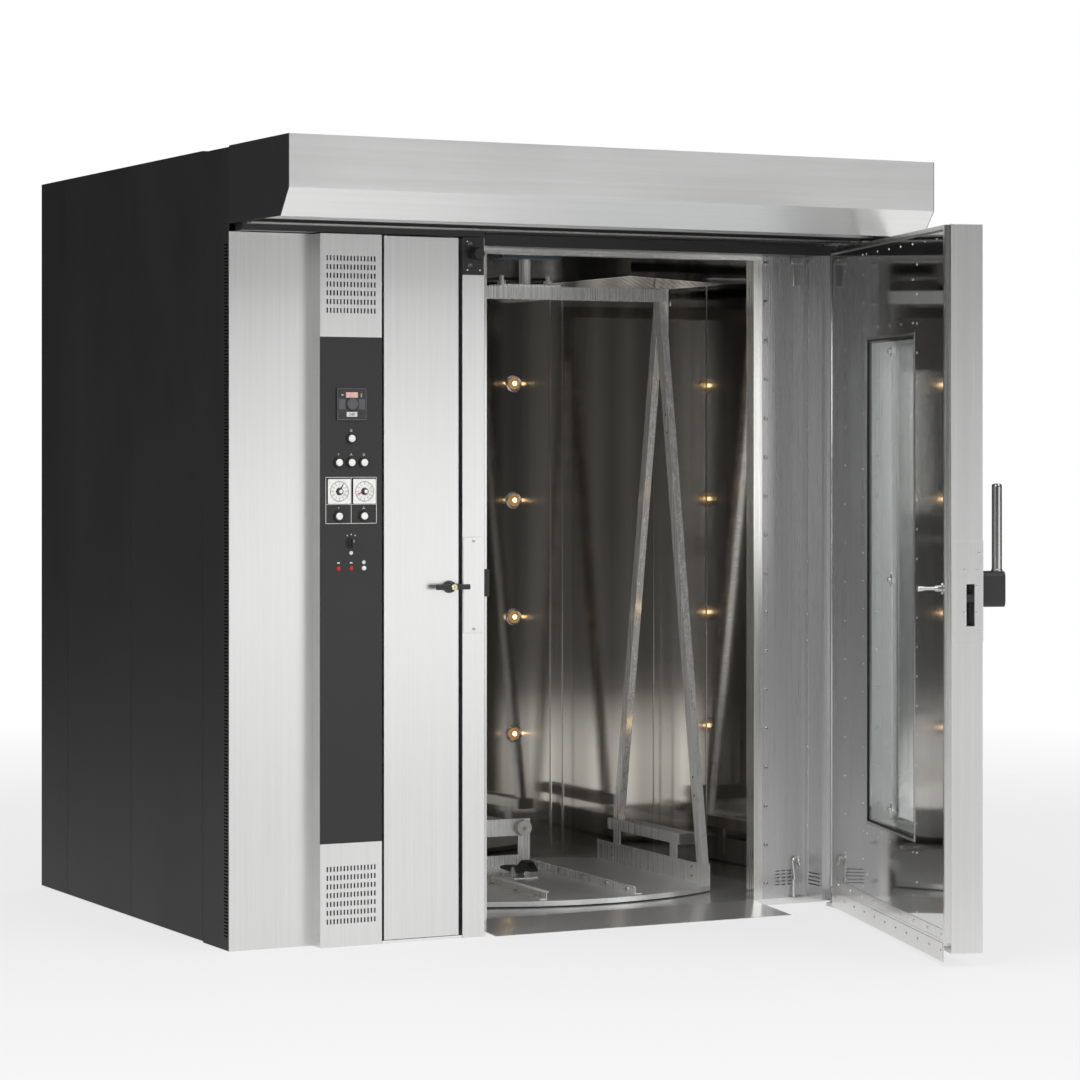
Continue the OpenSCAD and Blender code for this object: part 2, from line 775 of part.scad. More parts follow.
module gearmotor() {
    box_w = 170;
    box_h = 90;
    motor_r = 62;
    plate = [216, 100, 6];
    color("#4d565c") {
        difference() {
            union() {
                translate([axis_x - box_w / 2, axis_y - box_w / 2, lining_top])
                    cube([box_w, box_w, box_h]);
                translate([axis_x - box_w / 2 + eps, axis_y, lining_top + motor_r + 4])
                    rotate([0, -90, 0]) cylinder(h = 30, r = motor_r - 10);
                translate([axis_x - box_w / 2 - 30 + eps, axis_y, lining_top + motor_r + 4])
                    rotate([0, -90, 0]) cylinder(h = 210, r = motor_r);
                for (i = [0:9])
                    translate([axis_x - box_w / 2 - 60 - i * 16, axis_y, lining_top + motor_r + 4])
                        rotate([0, -90, 0]) cylinder(h = 3, r = motor_r + 4);
                translate([axis_x - box_w / 2 - 150, axis_y - 45, lining_top + 2 * motor_r - 4])
                    cube([90, 90, 20]);
            }
            translate([axis_x, axis_y, lining_top - 1]) cylinder(h = box_h + 2, r = shaft_r + bore_play);
        }
        difference() {
            translate([axis_x, axis_y, ceiling_z - plate[2] / 2]) cube(plate, center = true);
            translate([axis_x, axis_y, ceiling_z - plate[2] - 1])
                cylinder(h = plate[2] + 2, r = shaft_r + bore_play);
        }
    }
}

// A heating element: two legs and a bend, as a round tube
module element(w, h, r) {
    for (y = [-w / 2, w / 2]) translate([0, y, 0]) cylinder(h = h, r = r);
    translate([0, 0, h - eps]) rotate([90, 0, 90]) rotate_extrude(angle = 180)
        translate([w / 2, 0]) circle(r);
}

module heater_bank() {
    tube_r = 8;
    base_z = 300;
    element_h = 900;
    x = plenum_x + 75;
    color("#8c7a6b") {
        for (i = [-2:2]) translate([x, axis_y + i * 150, base_z - eps]) element(80, element_h, tube_r);
        span([plenum_x + 3, axis_y - 400, base_z - 10], [x + 40, axis_y + 400, base_z]);
        span([plenum_x + 3, axis_y - 400, base_z - 60], [plenum_x + 9, axis_y + 400, base_z - 10 + eps]);
    }
}

module fan_motor() {
    motor_r = 90;
    motor_l = 240;
    color("#50605a") difference() {
        union() {
            translate([plenum_x - 12, axis_y - 130, fan_z - 130]) cube([12, 260, 260]);
            translate([plenum_x - 12 + eps, axis_y, fan_z]) rotate([0, -90, 0]) cylinder(h = motor_l, r = motor_r);
            for (i = [0:7]) translate([plenum_x - 50 - i * 22, axis_y, fan_z]) rotate([0, -90, 0])
                cylinder(h = 4, r = motor_r + 6);
            translate([plenum_x - 170, axis_y - 50, fan_z + motor_r - 8]) cube([100, 100, 45]);
        }
        translate([plenum_x + 1, axis_y, fan_z]) rotate([0, -90, 0])
            cylinder(h = 60, r = fan_shaft_r + bore_play);
    }
}

module circulation_fan() {
    blades = 16;
    color("#a9a9a9") translate([fan_x, axis_y, fan_z]) rotate([0, 90, 0]) {
        translate([0, 0, -(fan_x - plenum_x) - 40]) cylinder(h = fan_x - plenum_x + 60, r = fan_shaft_r);
        cylinder(h = 3, r = fan_r);
        cylinder(h = 40, r = 35);
        for (i = [0:blades - 1]) rotate(i * 360 / blades) translate([120, -1.5, 3 - eps])
            rotate([0, 0, 30]) cube([70, 3, fan_w]);
        translate([0, 0, fan_w + 2]) difference() {
            cylinder(h = 3, r = fan_r);
            translate([0, 0, -1]) cylinder(h = 5, r = 130);
        }
    }
}

// ---- Turntable ----

// The platform's outline: straight sides, arcs at front and rear
module platform_outline(inset = 0) {
    intersection() {
        square([platform_w - 2 * inset, platform_d], center = true);
        translate([0, arc_off]) circle(platform_arc_r - inset, $fn = 240);
        translate([0, -arc_off]) circle(platform_arc_r - inset, $fn = 240);
    }
}

module platform() {
    color("silver") on_table() translate([0, 0, platform_z]) difference() {
        union() {
            difference() {
                linear_extrude(lip_h) platform_outline();
                translate([0, 0, -1]) linear_extrude(lip_h + 1 - plate_t) platform_outline(plate_t);
            }
            cylinder(h = lip_h, r = 60);
            for (a = [0:45:315]) rotate(a) translate([55, -3, 2]) cube([300, 6, lip_h - 2 - eps]);
        }
        translate([0, 0, -1]) cylinder(h = 10, r = pivot_r + bore_play);
    }
}

// The two rails that lead the rack's wheels, and the bracket with the catch's pin
module rack_rails() {
    y1 = -platform_d / 2 + 50;
    y2 = rear_stop_y - rear_foot - 4;
    ear_t = 4;
    ear_x = catch_w / 2 + 0.3;
    color("gray") on_table() {
        for (side = [-1, 1])
            translate([side * rail_gauge / 2, y2, deck_z]) rotate([90, 0, 0]) linear_extrude(y2 - y1)
                mirror([side < 0 ? 1 : 0, 0]) polygon([
                    [0, 0], [rail_w, 0], [rail_w, 3], [3, 3], [3, rail_h - 6], [-5, rail_h],
                    [-8, rail_h - 2], [0, rail_h - 8]]);
        translate([-45, catch_place[1] - 70, deck_z]) cube([90, 140, plate_t]);
        translate(catch_place) for (side = [-1, 1])
            translate([side * (ear_x + ear_t / 2), 0, 0]) rotate([90, 0, 90])
                linear_extrude(ear_t, center = true)
                    polygon([[-24, -eps], [24, -eps], [9, catch_pivot_z + 9], [-9, catch_pivot_z + 9]]);
        translate(catch_place + [-ear_x - ear_t, 0, catch_pivot_z]) rotate([0, 90, 0])
            cylinder(h = 2 * (ear_x + ear_t), r = catch_pin_r);
    }
}

// The outline of one side's leg pair, seen from the side; inset leaves the channel's flanges
module leg_outline(inset = 0) {
    top = beam_top - 34;
    for (foot = [[-foot_y, foot_shelf_z], [foot_y, bumper_z + bumper_h]]) {
        lean = foot[0] / (top - foot[1]);
        half = (leg_w / 2 - inset) * sqrt(1 + lean * lean);
        reach = inset > 0 ? 1 : 0;
        polygon([
            [foot[0] + reach * lean - half, foot[1] - reach], [foot[0] + reach * lean + half, foot[1] - reach],
            [half - reach * lean, top + reach], [-half - reach * lean, top + reach]]);
    }
}

// One side's leg pair, two open channels folded from sheet that meet under the beam
module side_frame(side) {
    web = 3;
    color("lightgray") on_table() mirror([side < 0 ? 1 : 0, 0, 0])
        translate([leg_x - leg_d / 2, 0, 0]) rotate([90, 0, 90]) difference() {
            linear_extrude(leg_d) leg_outline();
            translate([0, 0, web]) linear_extrude(leg_d) leg_outline(web);
        }
}

// One side's skirt with its two uprights, and the bumper beam on them
module bumper_side(side) {
    upright_y = [-180, 250];
    beam_y = [-198, 345];
    inner = skirt_x - plate_t;
    color("gray") on_table() mirror([side < 0 ? 1 : 0, 0, 0]) {
        translate([skirt_x + eps, -skirt_l / 2, platform_z]) cube([plate_t, skirt_l, skirt_h + lip_h]);
        for (y = upright_y)
            translate([skirt_x + plate_t, y, platform_z + 20])
                cube([plate_t, 50, bumper_z - platform_z - 20 + eps]);
        difference() {
            translate([skirt_x + plate_t, beam_y[0], bumper_z])
                cube([bumper_w, beam_y[1] - beam_y[0], bumper_h]);
            translate([skirt_x + plate_t + 3, beam_y[0] - 1, bumper_z + 3])
                cube([bumper_w - 6, beam_y[1] - beam_y[0] + 2, bumper_h - 6]);
        }
        translate([skirt_x + plate_t, -foot_y - 30, foot_shelf_z - plate_t])
            cube([leg_x + leg_d / 2 - skirt_x - plate_t, 60, plate_t]);
        for (y = [-foot_y - 30, -foot_y + 30 - plate_t])
            translate([skirt_x + plate_t, y, 0]) rotate([90, 0, 0]) mirror([0, 0, 1])
                linear_extrude(plate_t) polygon([
                    [0, platform_z + 20], [0, foot_shelf_z],
                    [leg_x + leg_d / 2 - skirt_x - plate_t, foot_shelf_z]]);
    }
}

module top_beam() {
    half = leg_x + leg_d / 2;
    shaft_top = lining_top + 60;
    plate = [216, 100];
    color("lightgray") on_table() {
        difference() {
            translate([-half, -beam_w / 2, beam_z]) cube([2 * half, beam_w, beam_h]);
            translate([-half - 1, -beam_w / 2 + 3, beam_z - 1]) cube([2 * half + 2, beam_w - 6, beam_h - 2]);
        }
        translate([-plate[0] / 2, -plate[1] / 2, beam_top - eps]) cube([plate[0], plate[1], hub_t]);
        translate([0, 0, beam_top]) cylinder(h = shaft_top - beam_top, r = shaft_r);
        for (side = [-1, 1]) {
            translate([side * 84, 0, beam_top + hub_t - eps]) cylinder(h = 14, r = 16, $fn = 6);
            translate([side * 84, 0, beam_top + hub_t]) cylinder(h = 30, r = 8);
        }
        for (side = [-1, 1])
            translate([side * (half + 2) - 2, -34, beam_top - 150]) cube([4, 68, 150]);
    }
}

module rear_stop() {
    half = 160;
    z2 = 203;
    t = 5;
    color("silver") on_table() {
        difference() {
            translate([-half, rear_stop_y, deck_z]) cube([2 * half, t, z2 - deck_z]);
            translate([-half + 45, rear_stop_y - 1, deck_z + 40]) cube([2 * half - 90, t + 2, 65]);
        }
        translate([-half, rear_stop_y - rear_foot, deck_z]) cube([2 * half, rear_foot + eps, t]);
    }
}

module rack_buffers() {
    color("white") on_table() for (side = [-1, 1]) translate([side * 125, rear_stop_y, 174]) {
        toward_front(34, 27, 26);
        translate([0, -34 + eps, 0]) toward_front(3, 8);
    }
}

// Sprung rocker that hooks the rack, seen from the side; its near end is pressed down
module catch_profile() {
    polygon([
        [-130, 26], [-130, 34], [-102, 54], [-62, 58], [-22, 34], [16, 32], [72, 28],
        [110, 20], [110, 12], [20, 8], [-14, 8], [-40, 18], [-100, 26]]);
}

module rack_catch() {
    color("#262626") on_table() translate(catch_place) difference() {
        rotate([90, 0, 90]) translate([0, 0, -catch_w / 2]) linear_extrude(catch_w) catch_profile();
        translate([-catch_w, 0, catch_pivot_z]) rotate([0, 90, 0])
            cylinder(h = 2 * catch_w, r = catch_pin_r + bore_play);
    }
}

// ---- Main door, drawn closed ----

module window_hole(y1, y2, grow = 0) {
    span([door_r - window_far - grow, y1, window_low - grow],
         [door_r - window_near + grow, y2, window_top + grow]);
}

module door_shell() {
    pocket = 46;
    color("silver") on_door() difference() {
        span([door_l, face, door_lift], [door_r, inner_y, door_top]);
        window_hole(face - 1, inner_y + 1);
        span([door_l - 1, bolt_y - slot_w / 2, slot_z[0]],
             [door_l + pocket, bolt_y + slot_w / 2, slot_z[1]]);
        translate([handle_x, face + 50, handle_z]) toward_front(51, spindle_r + bore_play);
        translate([door_l + release_in, inner_y + 1, release_z])
            toward_front(inner_y + 1 - bolt_y, release_r + bore_play);
    }
}

module door_inner() {
    inset = 20;
    rim = 3;
    color("gainsboro") on_door() difference() {
        union() {
            difference() {
                span([door_l + inset, inner_y, door_lift + inset],
                     [door_r - inset, seal_y, door_top - inset]);
                window_hole(inner_y - 1, seal_y + 1, -12);
            }
            translate([door_l + release_in, seal_y + 5, release_z]) toward_front(6, 17);
            translate([door_l + release_in, seal_y + 22, release_z]) toward_front(20, 9);
        }
        window_hole(seal_y - pane_t - rim, seal_y + 1, 8);
        translate([door_l + release_in, seal_y + 30, release_z])
            toward_front(60, release_r + bore_play);
    }
}

module window_glass() {
    fit = 0.3;
    color([0.7, 0.75, 0.75, 0.5]) on_door() {
        window_hole(face + 3, face + 3 + pane_t, -fit);
        window_hole(seal_y - pane_t - 3, seal_y - 3, 8 - fit);
    }
}

// A round-edged seal strip between two corners and the wiping strip below the door
module door_seals() {
    w = 12;
    edge = 2;
    y2 = stop_y - 0.4;
    low = door_lift + 30;
    sweep_z = [14, 76];
    color("#1d1d1d") on_door() {
        for (x = [door_l + edge, door_r - edge - w])
            span([x, inner_y, low], [x + w, y2, door_top - edge]);
        span([door_l + edge, inner_y, door_top - edge - w], [door_r - edge, y2, door_top - edge]);
        span([door_l + 20, seal_y, sweep_z[0]], [door_r - 20, seal_y + 2, sweep_z[1]]);
    }
}

module lock_plate() {
    z1 = 919;
    z2 = 1206;
    t = lock_plate_t;
    wrap = 16;
    color("darkgray") on_door() difference() {
        span([door_l - t, face - t, z1], [door_l + wrap, inner_y, z2]);
        span([door_l, face, z1 - 1], [door_l + wrap + 1, inner_y + 1, z2 + 1]);
        span([door_l - t - 1, bolt_y - slot_w / 2, slot_z[0]],
             [door_l + 1, bolt_y + slot_w / 2, slot_z[1]]);
    }
}

// Door side of the hinges: a plate on top and one below, each bored for its pin
module hinge_arms() {
    reach = 260;
    eye_r = pin_r + 14;
    color("gray") on_door() for (z = [arm_low, door_top]) {
        difference() {
            union() {
                span([door_r - reach, pin_y - eye_r, z], [pin_x, pin_y + eye_r, z + arm_t]);
                translate([pin_x, pin_y, z]) cylinder(h = arm_t, r = eye_r);
            }
            translate([pin_x, pin_y, z - 1]) cylinder(h = arm_t + 2, r = pin_r + bore_play);
        }
    }
}

module latch_bolt() {
    x = door_l + 3;
    color("#262626") on_door() translate([0, bolt_y + bolt_w / 2, 0]) rotate([90, 0, 0])
        linear_extrude(bolt_w) polygon([
            [x, bolt_z[0] + 4], [x + 6, bolt_z[0]], [x + bolt_l, bolt_z[0]],
            [x + bolt_l, bolt_z[1]], [x + 6, bolt_z[1]], [x, bolt_z[1] - 4]]);
}

// Hub with its spindle and bar; the hub turns just clear of the lock plate
module handle() {
    hub = [76, 101];
    hub_gap = lock_plate_t + 0.3;
    bar_y = -60.4;
    color("#2a2a2a") on_door() translate([handle_x, face, handle_z]) {
        translate([0, -hub_gap, 0]) rotate([90, 0, 0])
            linear_extrude(handle_proud - hub_gap) rounded(hub[0], hub[1], 16);
        translate([0, 47.6, 0]) toward_front(50, spindle_r);
        translate([0, bar_y, 50 - eps]) cylinder(h = handle_bar_l, r = handle_bar_r);
        translate([0, bar_y, 49 + handle_bar_l])
            cylinder(h = 4, r1 = handle_bar_r, r2 = handle_bar_r - 4);
    }
}

module inner_release() {
    rod_out = 65;
    color("silver") on_door() translate([door_l + release_in, 0, release_z]) {
        translate([0, seal_y + rod_out, 0]) toward_front(rod_out + inner_t + 28, release_r);
        translate([0, seal_y + rod_out, 0]) toward_front(10, release_r + 3);
    }
}

// ---- Service door ----

module service_door() {
    hem = 2;
    lug = 26;
    color("silver") difference() {
        union() {
            difference() {
                span([service_x, face, service_z], [service_x + service_w, face + service_t, service_top]);
                span([service_x + hem, face + hem, service_z + hem],
                     [service_x + service_w - hem, face + service_t + 1, service_top - hem]);
            }
            for (z = [service_z, service_top - 16])
                span([service_x, face, z], [service_x + lug, face + service_t, z + 16]);
            translate([wing_x, face + 12, wing_z]) toward_front(12, wing_shaft_r + 6);
        }
        translate([service_pin[0], service_pin[1], service_z - 1])
            cylinder(h = 14, r = service_pin_r + bore_play);
        translate([service_pin[0], service_pin[1], service_top - 13])
            cylinder(h = 14, r = service_pin_r + bore_play);
        translate([wing_x, face + service_t, wing_z])
            toward_front(service_t + 5, wing_shaft_r + bore_play);
    }
}

// Lock knob with two wings, its shaft and the cam behind the door
module wing_lock() {
    wing = 54;
    color("#2a2a2a") translate([wing_x, face, wing_z]) {
        translate([0, -0.3, 0]) toward_front(14, 19, 17);
        translate([0, -14, 0]) toward_front(16, 15, 12);
        for (side = [-1, 1]) translate([0, -30, 0]) rotate([0, side > 0 ? 90 : -90, 0])
            rotate(90) translate([0, 0, 8]) linear_extrude(wing - 8) rounded(13, 16, 5);
        translate([0, service_t + 6, 0]) toward_front(service_t + 6.3, wing_shaft_r);
        translate([-8, service_t + 4, -cam_l]) cube([16, 4, cam_l + 6]);
    }
}

// ---- Controls ----

module button(i) {
    p = button_place[i];
    color("white") translate([fascia_mid + p[0], face, p[1]]) {
        translate([0, 12, 0]) toward_front(12 + bezel_h + 4, button_r);
        translate([0, -bezel_h - 4 + eps, 0]) toward_front(1.5, button_r, button_r - 2);
    }
}

module controller_knob() {
    color("#555557") translate([fascia_mid, face - 1.3, controller_z]) {
        toward_front(12, controller_knob_r, controller_knob_r - 3);
        translate([0, 14, 0]) toward_front(15, knob_stem_r);
    }
}

module selector_knob() {
    color("#1e1e1e") translate([fascia_mid, face - 4.3, selector_z]) {
        toward_front(6, selector_r, selector_r - 1);
        translate([-4, -16, -selector_r]) cube([8, 12, 2 * selector_r]);
        translate([0, 18, 0]) toward_front(19, knob_stem_r);
    }
}

module timer_knob(i) {
    p = timer_place[i];
    color("#1e1e1e") translate([fascia_mid + p[0], face - 1.3, p[1]]) {
        toward_front(16, timer_knob_r, timer_knob_r - 2);
        translate([0, 14, 0]) toward_front(15, knob_stem_r);
    }
}

module vent_knob() {
    color("#1e1e1e") translate([vent_knob_x, face - 3.3, vent_knob_z]) {
        toward_front(12, 12, 10);
        translate([0, -12 + eps, 0]) toward_front(24, 19, 16);
        translate([0, 14, 0]) toward_front(15, vent_knob_stem_r);
    }
}

floor_pan();
air_plenum();
chamber_lining();
casing_left();
louvre_panel();
casing_right();
casing_back();
roof_panel();
front_panel();
control_column();
control_fascia();
instruments();
indicator_lamps();
latch_post();
post_fittings();
lintel();
jamb_left();
jamb_right();
throat_trim();
hood();
hinge_brackets();
ramp();
oven_lamps();
ceiling_duct();
gearmotor();
heater_bank();
fan_motor();
circulation_fan();
platform();
rack_rails();
side_frame(-1);  // side_frame_left
side_frame(1);  // side_frame_right
bumper_side(-1);  // bumper_left
bumper_side(1);  // bumper_right
top_beam();
rear_stop();
rack_buffers();
rack_catch();
door_shell();
door_inner();
window_glass();
door_seals();
lock_plate();
hinge_arms();
latch_bolt();
handle();
inner_release();
service_door();
wing_lock();
button(0);  // button_1
button(1);  // button_2
button(2);  // button_3
button(3);  // button_4
button(4);  // button_5
button(5);  // button_6
controller_knob();
selector_knob();
timer_knob(0);  // timer_knob_left
timer_knob(1);  // timer_knob_right
vent_knob();
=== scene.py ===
import json
import math
import random

import bmesh
import bpy
from mathutils import Matrix, Vector


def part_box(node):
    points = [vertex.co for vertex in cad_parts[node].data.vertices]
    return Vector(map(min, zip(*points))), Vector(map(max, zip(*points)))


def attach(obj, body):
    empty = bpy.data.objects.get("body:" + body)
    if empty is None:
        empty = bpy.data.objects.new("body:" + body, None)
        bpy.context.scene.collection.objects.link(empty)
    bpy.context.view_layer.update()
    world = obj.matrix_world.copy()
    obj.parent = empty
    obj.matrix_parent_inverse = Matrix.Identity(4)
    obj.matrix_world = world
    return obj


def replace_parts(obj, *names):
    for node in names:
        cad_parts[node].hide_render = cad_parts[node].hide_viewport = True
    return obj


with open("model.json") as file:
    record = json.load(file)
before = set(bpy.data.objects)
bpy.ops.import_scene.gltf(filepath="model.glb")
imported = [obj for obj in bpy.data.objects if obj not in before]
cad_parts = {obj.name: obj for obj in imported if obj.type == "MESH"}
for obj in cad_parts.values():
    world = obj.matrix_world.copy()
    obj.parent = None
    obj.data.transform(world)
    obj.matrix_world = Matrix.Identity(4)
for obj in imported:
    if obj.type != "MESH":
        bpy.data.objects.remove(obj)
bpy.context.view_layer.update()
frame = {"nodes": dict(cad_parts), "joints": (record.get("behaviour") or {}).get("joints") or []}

# A rotating rack oven with its door open. Metres, Z up, the front faces -Y.
random.seed(7)

# ---- Places, read from the frame ----


def low(node):
    """The lowest corner of a node of the frame."""
    return Vector(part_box(node)[0])


def high(node):
    """The highest corner of a node of the frame."""
    return Vector(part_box(node)[1])


def middle(node):
    """The middle of a node's box."""
    return (low(node) + high(node)) / 2


def turned_about(point, angle):
    """The matrix that turns about a vertical line through a point."""
    return Matrix.Translation(point) @ Matrix.Rotation(angle, 4, "Z") @ Matrix.Translation(-point)


def add_object(name, data):
    """A new object, linked into the scene."""
    added = bpy.data.objects.new(name, data)
    bpy.context.scene.collection.objects.link(added)
    return added


JOINTS = {joint["name"]: joint for joint in frame["joints"]}
PIN = Vector(JOINTS["main_door_hinge"]["pos_m"])
DOOR_OPEN = math.radians(-JOINTS["main_door_hinge"]["range_deg"][0])
AXIS = Vector((*JOINTS["turntable_spin"]["pos_m"][:2], 0))
TABLE_TURN = math.radians(-2.5)
FACE = low("control_column").y
ON_DOOR = turned_about(PIN, DOOR_OPEN)
ON_TABLE = Matrix.Translation(AXIS) @ Matrix.Rotation(TABLE_TURN, 4, "Z")
HERE = Matrix.Identity(4)

# ---- Material nodes ----


def mix_colors(tree, factor, a, b, blend="MIX"):
    """A colour between a and b, where each value is a plain one or a node's output."""
    node = tree.nodes.new("ShaderNodeMix")
    node.data_type = "RGBA"
    node.blend_type = blend
    for value, socket in ((factor, 0), (a, 6), (b, 7)):
        if isinstance(value, bpy.types.NodeSocket):
            tree.links.new(value, node.inputs[socket])
        else:
            node.inputs[socket].default_value = (*value, 1) if socket else value
    return node.outputs[2]


class Look:
    """A material with one Principled shader, and short calls that wire its detail."""

    def __init__(self, name, color, rough, metallic=0.0, **sockets):
        self.material = bpy.data.materials.new(name)
        self.material.use_nodes = True
        self.tree = self.material.node_tree
        self.shader = self.tree.nodes["Principled BSDF"]
        self.shader.inputs["Base Color"].default_value = (*color, 1)
        self.shader.inputs["Roughness"].default_value = rough
        self.shader.inputs["Metallic"].default_value = metallic
        for socket, value in sockets.items():
            self.shader.inputs[socket.replace("_", " ")].default_value = value
        self.coords = self.tree.nodes.new("ShaderNodeTexCoord")
        self.material.diffuse_color = (*color, 1)
        self.edge = 0.0

    def link(self, out, into):
        self.tree.links.new(out, into)

    def noise(self, scale, detail=3.0, rough=0.5):
        """Noise in object space, with its own scale along each axis."""
        mapping = self.tree.nodes.new("ShaderNodeMapping")
        mapping.inputs["Scale"].default_value = scale
        self.link(self.coords.outputs["Object"], mapping.inputs["Vector"])
        node = self.tree.nodes.new("ShaderNodeTexNoise")
        node.inputs["Scale"].default_value = 1.0
        node.inputs["Detail"].default_value = detail
        node.inputs["Roughness"].default_value = rough
        self.link(mapping.outputs["Vector"], node.inputs["Vector"])
        return node.outputs["Fac"]

    def spread(self, value, a, b, start=0.3, stop=0.7):
        """Maps a texture's value to the range a to b."""
        node = self.tree.nodes.new("ShaderNodeMapRange")
        node.inputs["From Min"].default_value = start
        node.inputs["From Max"].default_value = stop
        node.inputs["To Min"].default_value = a
        node.inputs["To Max"].default_value = b
        self.link(value, node.inputs["Value"])
        return node.outputs["Result"]

    def combine(self, a, b, operation="ADD"):
        """Two values joined by one operation."""
        node = self.tree.nodes.new("ShaderNodeMath")
        node.operation = operation
        for value, socket in ((a, node.inputs[0]), (b, node.inputs[1])):
            if isinstance(value, (int, float)):
                socket.default_value = value
            else:
                self.link(value, socket)
        return node.outputs["Value"]

    def weigh(self, a, share_a, b, share_b):
        """The sum of two values, each times its share."""
        return self.combine(self.combine(a, share_a, "MULTIPLY"), self.combine(b, share_b, "MULTIPLY"))

    def color(self, factor, a, b):
        self.link(mix_colors(self.tree, factor, a, b), self.shader.inputs["Base Color"])

    def roughness(self, value):
        self.link(value, self.shader.inputs["Roughness"])

    def paint_ends(self, reach, paint):
        """Covers what lies beyond a distance on either side of the middle with paint."""
        split = self.tree.nodes.new("ShaderNodeSeparateXYZ")
        self.link(self.coords.outputs["Object"], split.inputs["Vector"])
        side = self.combine(self.combine(split.outputs["X"], 0.0, "ABSOLUTE"), reach, "GREATER_THAN")
        steel = self.shader.inputs["Base Color"].links[0].from_socket
        self.link(mix_colors(self.tree, side, steel, paint), self.shader.inputs["Base Color"])
        self.link(self.combine(1.0, side, "SUBTRACT"), self.shader.inputs["Metallic"])

    def bump(self, height, strength, distance):
        """Relief from a height, over edges that are softly folded where self.edge is set."""
        node = self.tree.nodes.new("ShaderNodeBump")
        node.inputs["Strength"].default_value = strength
        node.inputs["Distance"].default_value = distance
        self.link(height, node.inputs["Height"])
        self.link(node.outputs["Normal"], self.shader.inputs["Normal"])
        if self.edge:
            fold = self.tree.nodes.new("ShaderNodeBevel")
            fold.samples = 4
            fold.inputs["Radius"].default_value = self.edge
            self.link(fold.outputs["Normal"], node.inputs["Normal"])


def shade(color, factor):
    """A colour made lighter or darker."""
    return tuple(min(1.0, channel * factor) for channel in color)


# ---- Materials ----

# Height of the brushed streaks and of the wipe marks on bright sheet
STREAK_HEIGHT = 0.00010
WIPE_HEIGHT = 0.00002


def brushed(name, color, rough, grain, contrast=0.10, wave=0.0, spread=0.0, painted_ends=0.0, edge=0.0,
            metallic=1.0):
    """Brushed steel: fine streaks along one axis, cloudy gloss and a faint wave of the sheet."""
    look = Look(name, color, rough, metallic, Anisotropic=spread)
    look.edge = edge
    across = 900.0
    along = 5.0
    scale = tuple(along if axis == grain else across for axis in "xyz")
    fine = look.noise(scale, 4.0, 0.65)
    wide = look.noise(tuple(part / 9 for part in scale), 3.0)
    cloud = look.noise((1.6, 1.6, 0.9), 2.0)
    streak = look.weigh(fine, 0.6, wide, 0.4)
    look.color(look.spread(streak, 0, 1, 0.36, 0.64), shade(color, 1 - contrast), shade(color, 1 + contrast))
    if painted_ends:
        look.paint_ends(painted_ends, (0.020, 0.020, 0.021))
    patchy = look.spread(cloud, -0.015, 0.02)
    look.roughness(look.combine(look.spread(streak, rough - 0.03, rough + 0.04), patchy))
    if wave:
        sheet = look.noise((1.1, 1.1, 1.7), 1.0)
        look.bump(look.weigh(streak, STREAK_HEIGHT, sheet, wave), 1.0, 1.0)
    else:
        look.bump(streak, 0.10, 0.0015)
    return look.material


def polished(name, color, rough, wave, spread=0.35, sheets=0.0):
    """Bright rolled sheet: clear reflections over slightly wavy metal, with faint wipe marks."""
    look = Look(name, color, rough, 1.0, Anisotropic=spread)
    wipe = look.noise((60.0, 60.0, 1.5), 4.0, 0.6)
    cloud = look.noise((2.4, 2.4, 0.7), 3.0)
    sheet = look.noise((2.2, 2.2, 0.45), 1.0)
    if sheets:
        widths = look.noise((5.0, 5.0, 0.02), 1.0)
        tone = look.weigh(widths, 0.75, cloud, 0.25)
        look.color(look.spread(tone, 0, 1, 0.38, 0.62), shade(color, 1 - sheets), shade(color, 1.12))
    else:
        look.color(look.spread(cloud, 0, 1), shade(color, 0.90), shade(color, 1.05))
    patchy = look.spread(cloud, -0.008, 0.012)
    look.roughness(look.combine(look.spread(wipe, rough * 0.75, rough * 1.3), patchy))
    look.bump(look.weigh(wipe, WIPE_HEIGHT, sheet, wave), 1.0, 1.0)
    return look.material


def galvanised(name, color, rough):
    """Zinc-coated sheet with its patchy crystals and dull handling marks."""
    look = Look(name, color, rough, 1.0)
    crystals = look.tree.nodes.new("ShaderNodeTexVoronoi")
    crystals.inputs["Scale"].default_value = 75.0
    look.link(look.coords.outputs["Object"], crystals.inputs["Vector"])
    grey = look.tree.nodes.new("ShaderNodeSeparateColor")
    look.link(crystals.outputs["Color"], grey.inputs["Color"])
    dull = look.noise((7.0, 7.0, 3.0), 5.0, 0.6)
    mixed = look.weigh(grey.outputs[0], 0.55, dull, 0.6)
    look.color(look.spread(mixed, 0, 1, 0.2, 0.85), shade(color, 0.84), shade(color, 1.08))
    look.roughness(look.spread(mixed, rough - 0.10, rough + 0.14, 0.2, 0.85))
    look.bump(dull, 0.12, 0.002)
    return look.material


def painted(name, color, rough, grain=900.0, depth=0.10, edge=0.0, **sockets):
    """Stoved paint with its fine orange peel, faint dust and softly varying gloss."""
    look = Look(name, color, rough, **sockets)
    look.edge = edge
    peel = look.noise((grain, grain, grain), 2.0)
    dust = look.noise((1.8, 1.8, 0.8), 4.0, 0.6)
    look.color(look.spread(dust, 0, 1), shade(color, 0.84), shade(color, 1.22))
    grainy = look.spread(peel, -0.02, 0.03)
    look.roughness(look.combine(look.spread(dust, rough - 0.04, rough + 0.05), grainy))
    look.bump(peel, depth, 0.0008)
    return look.material


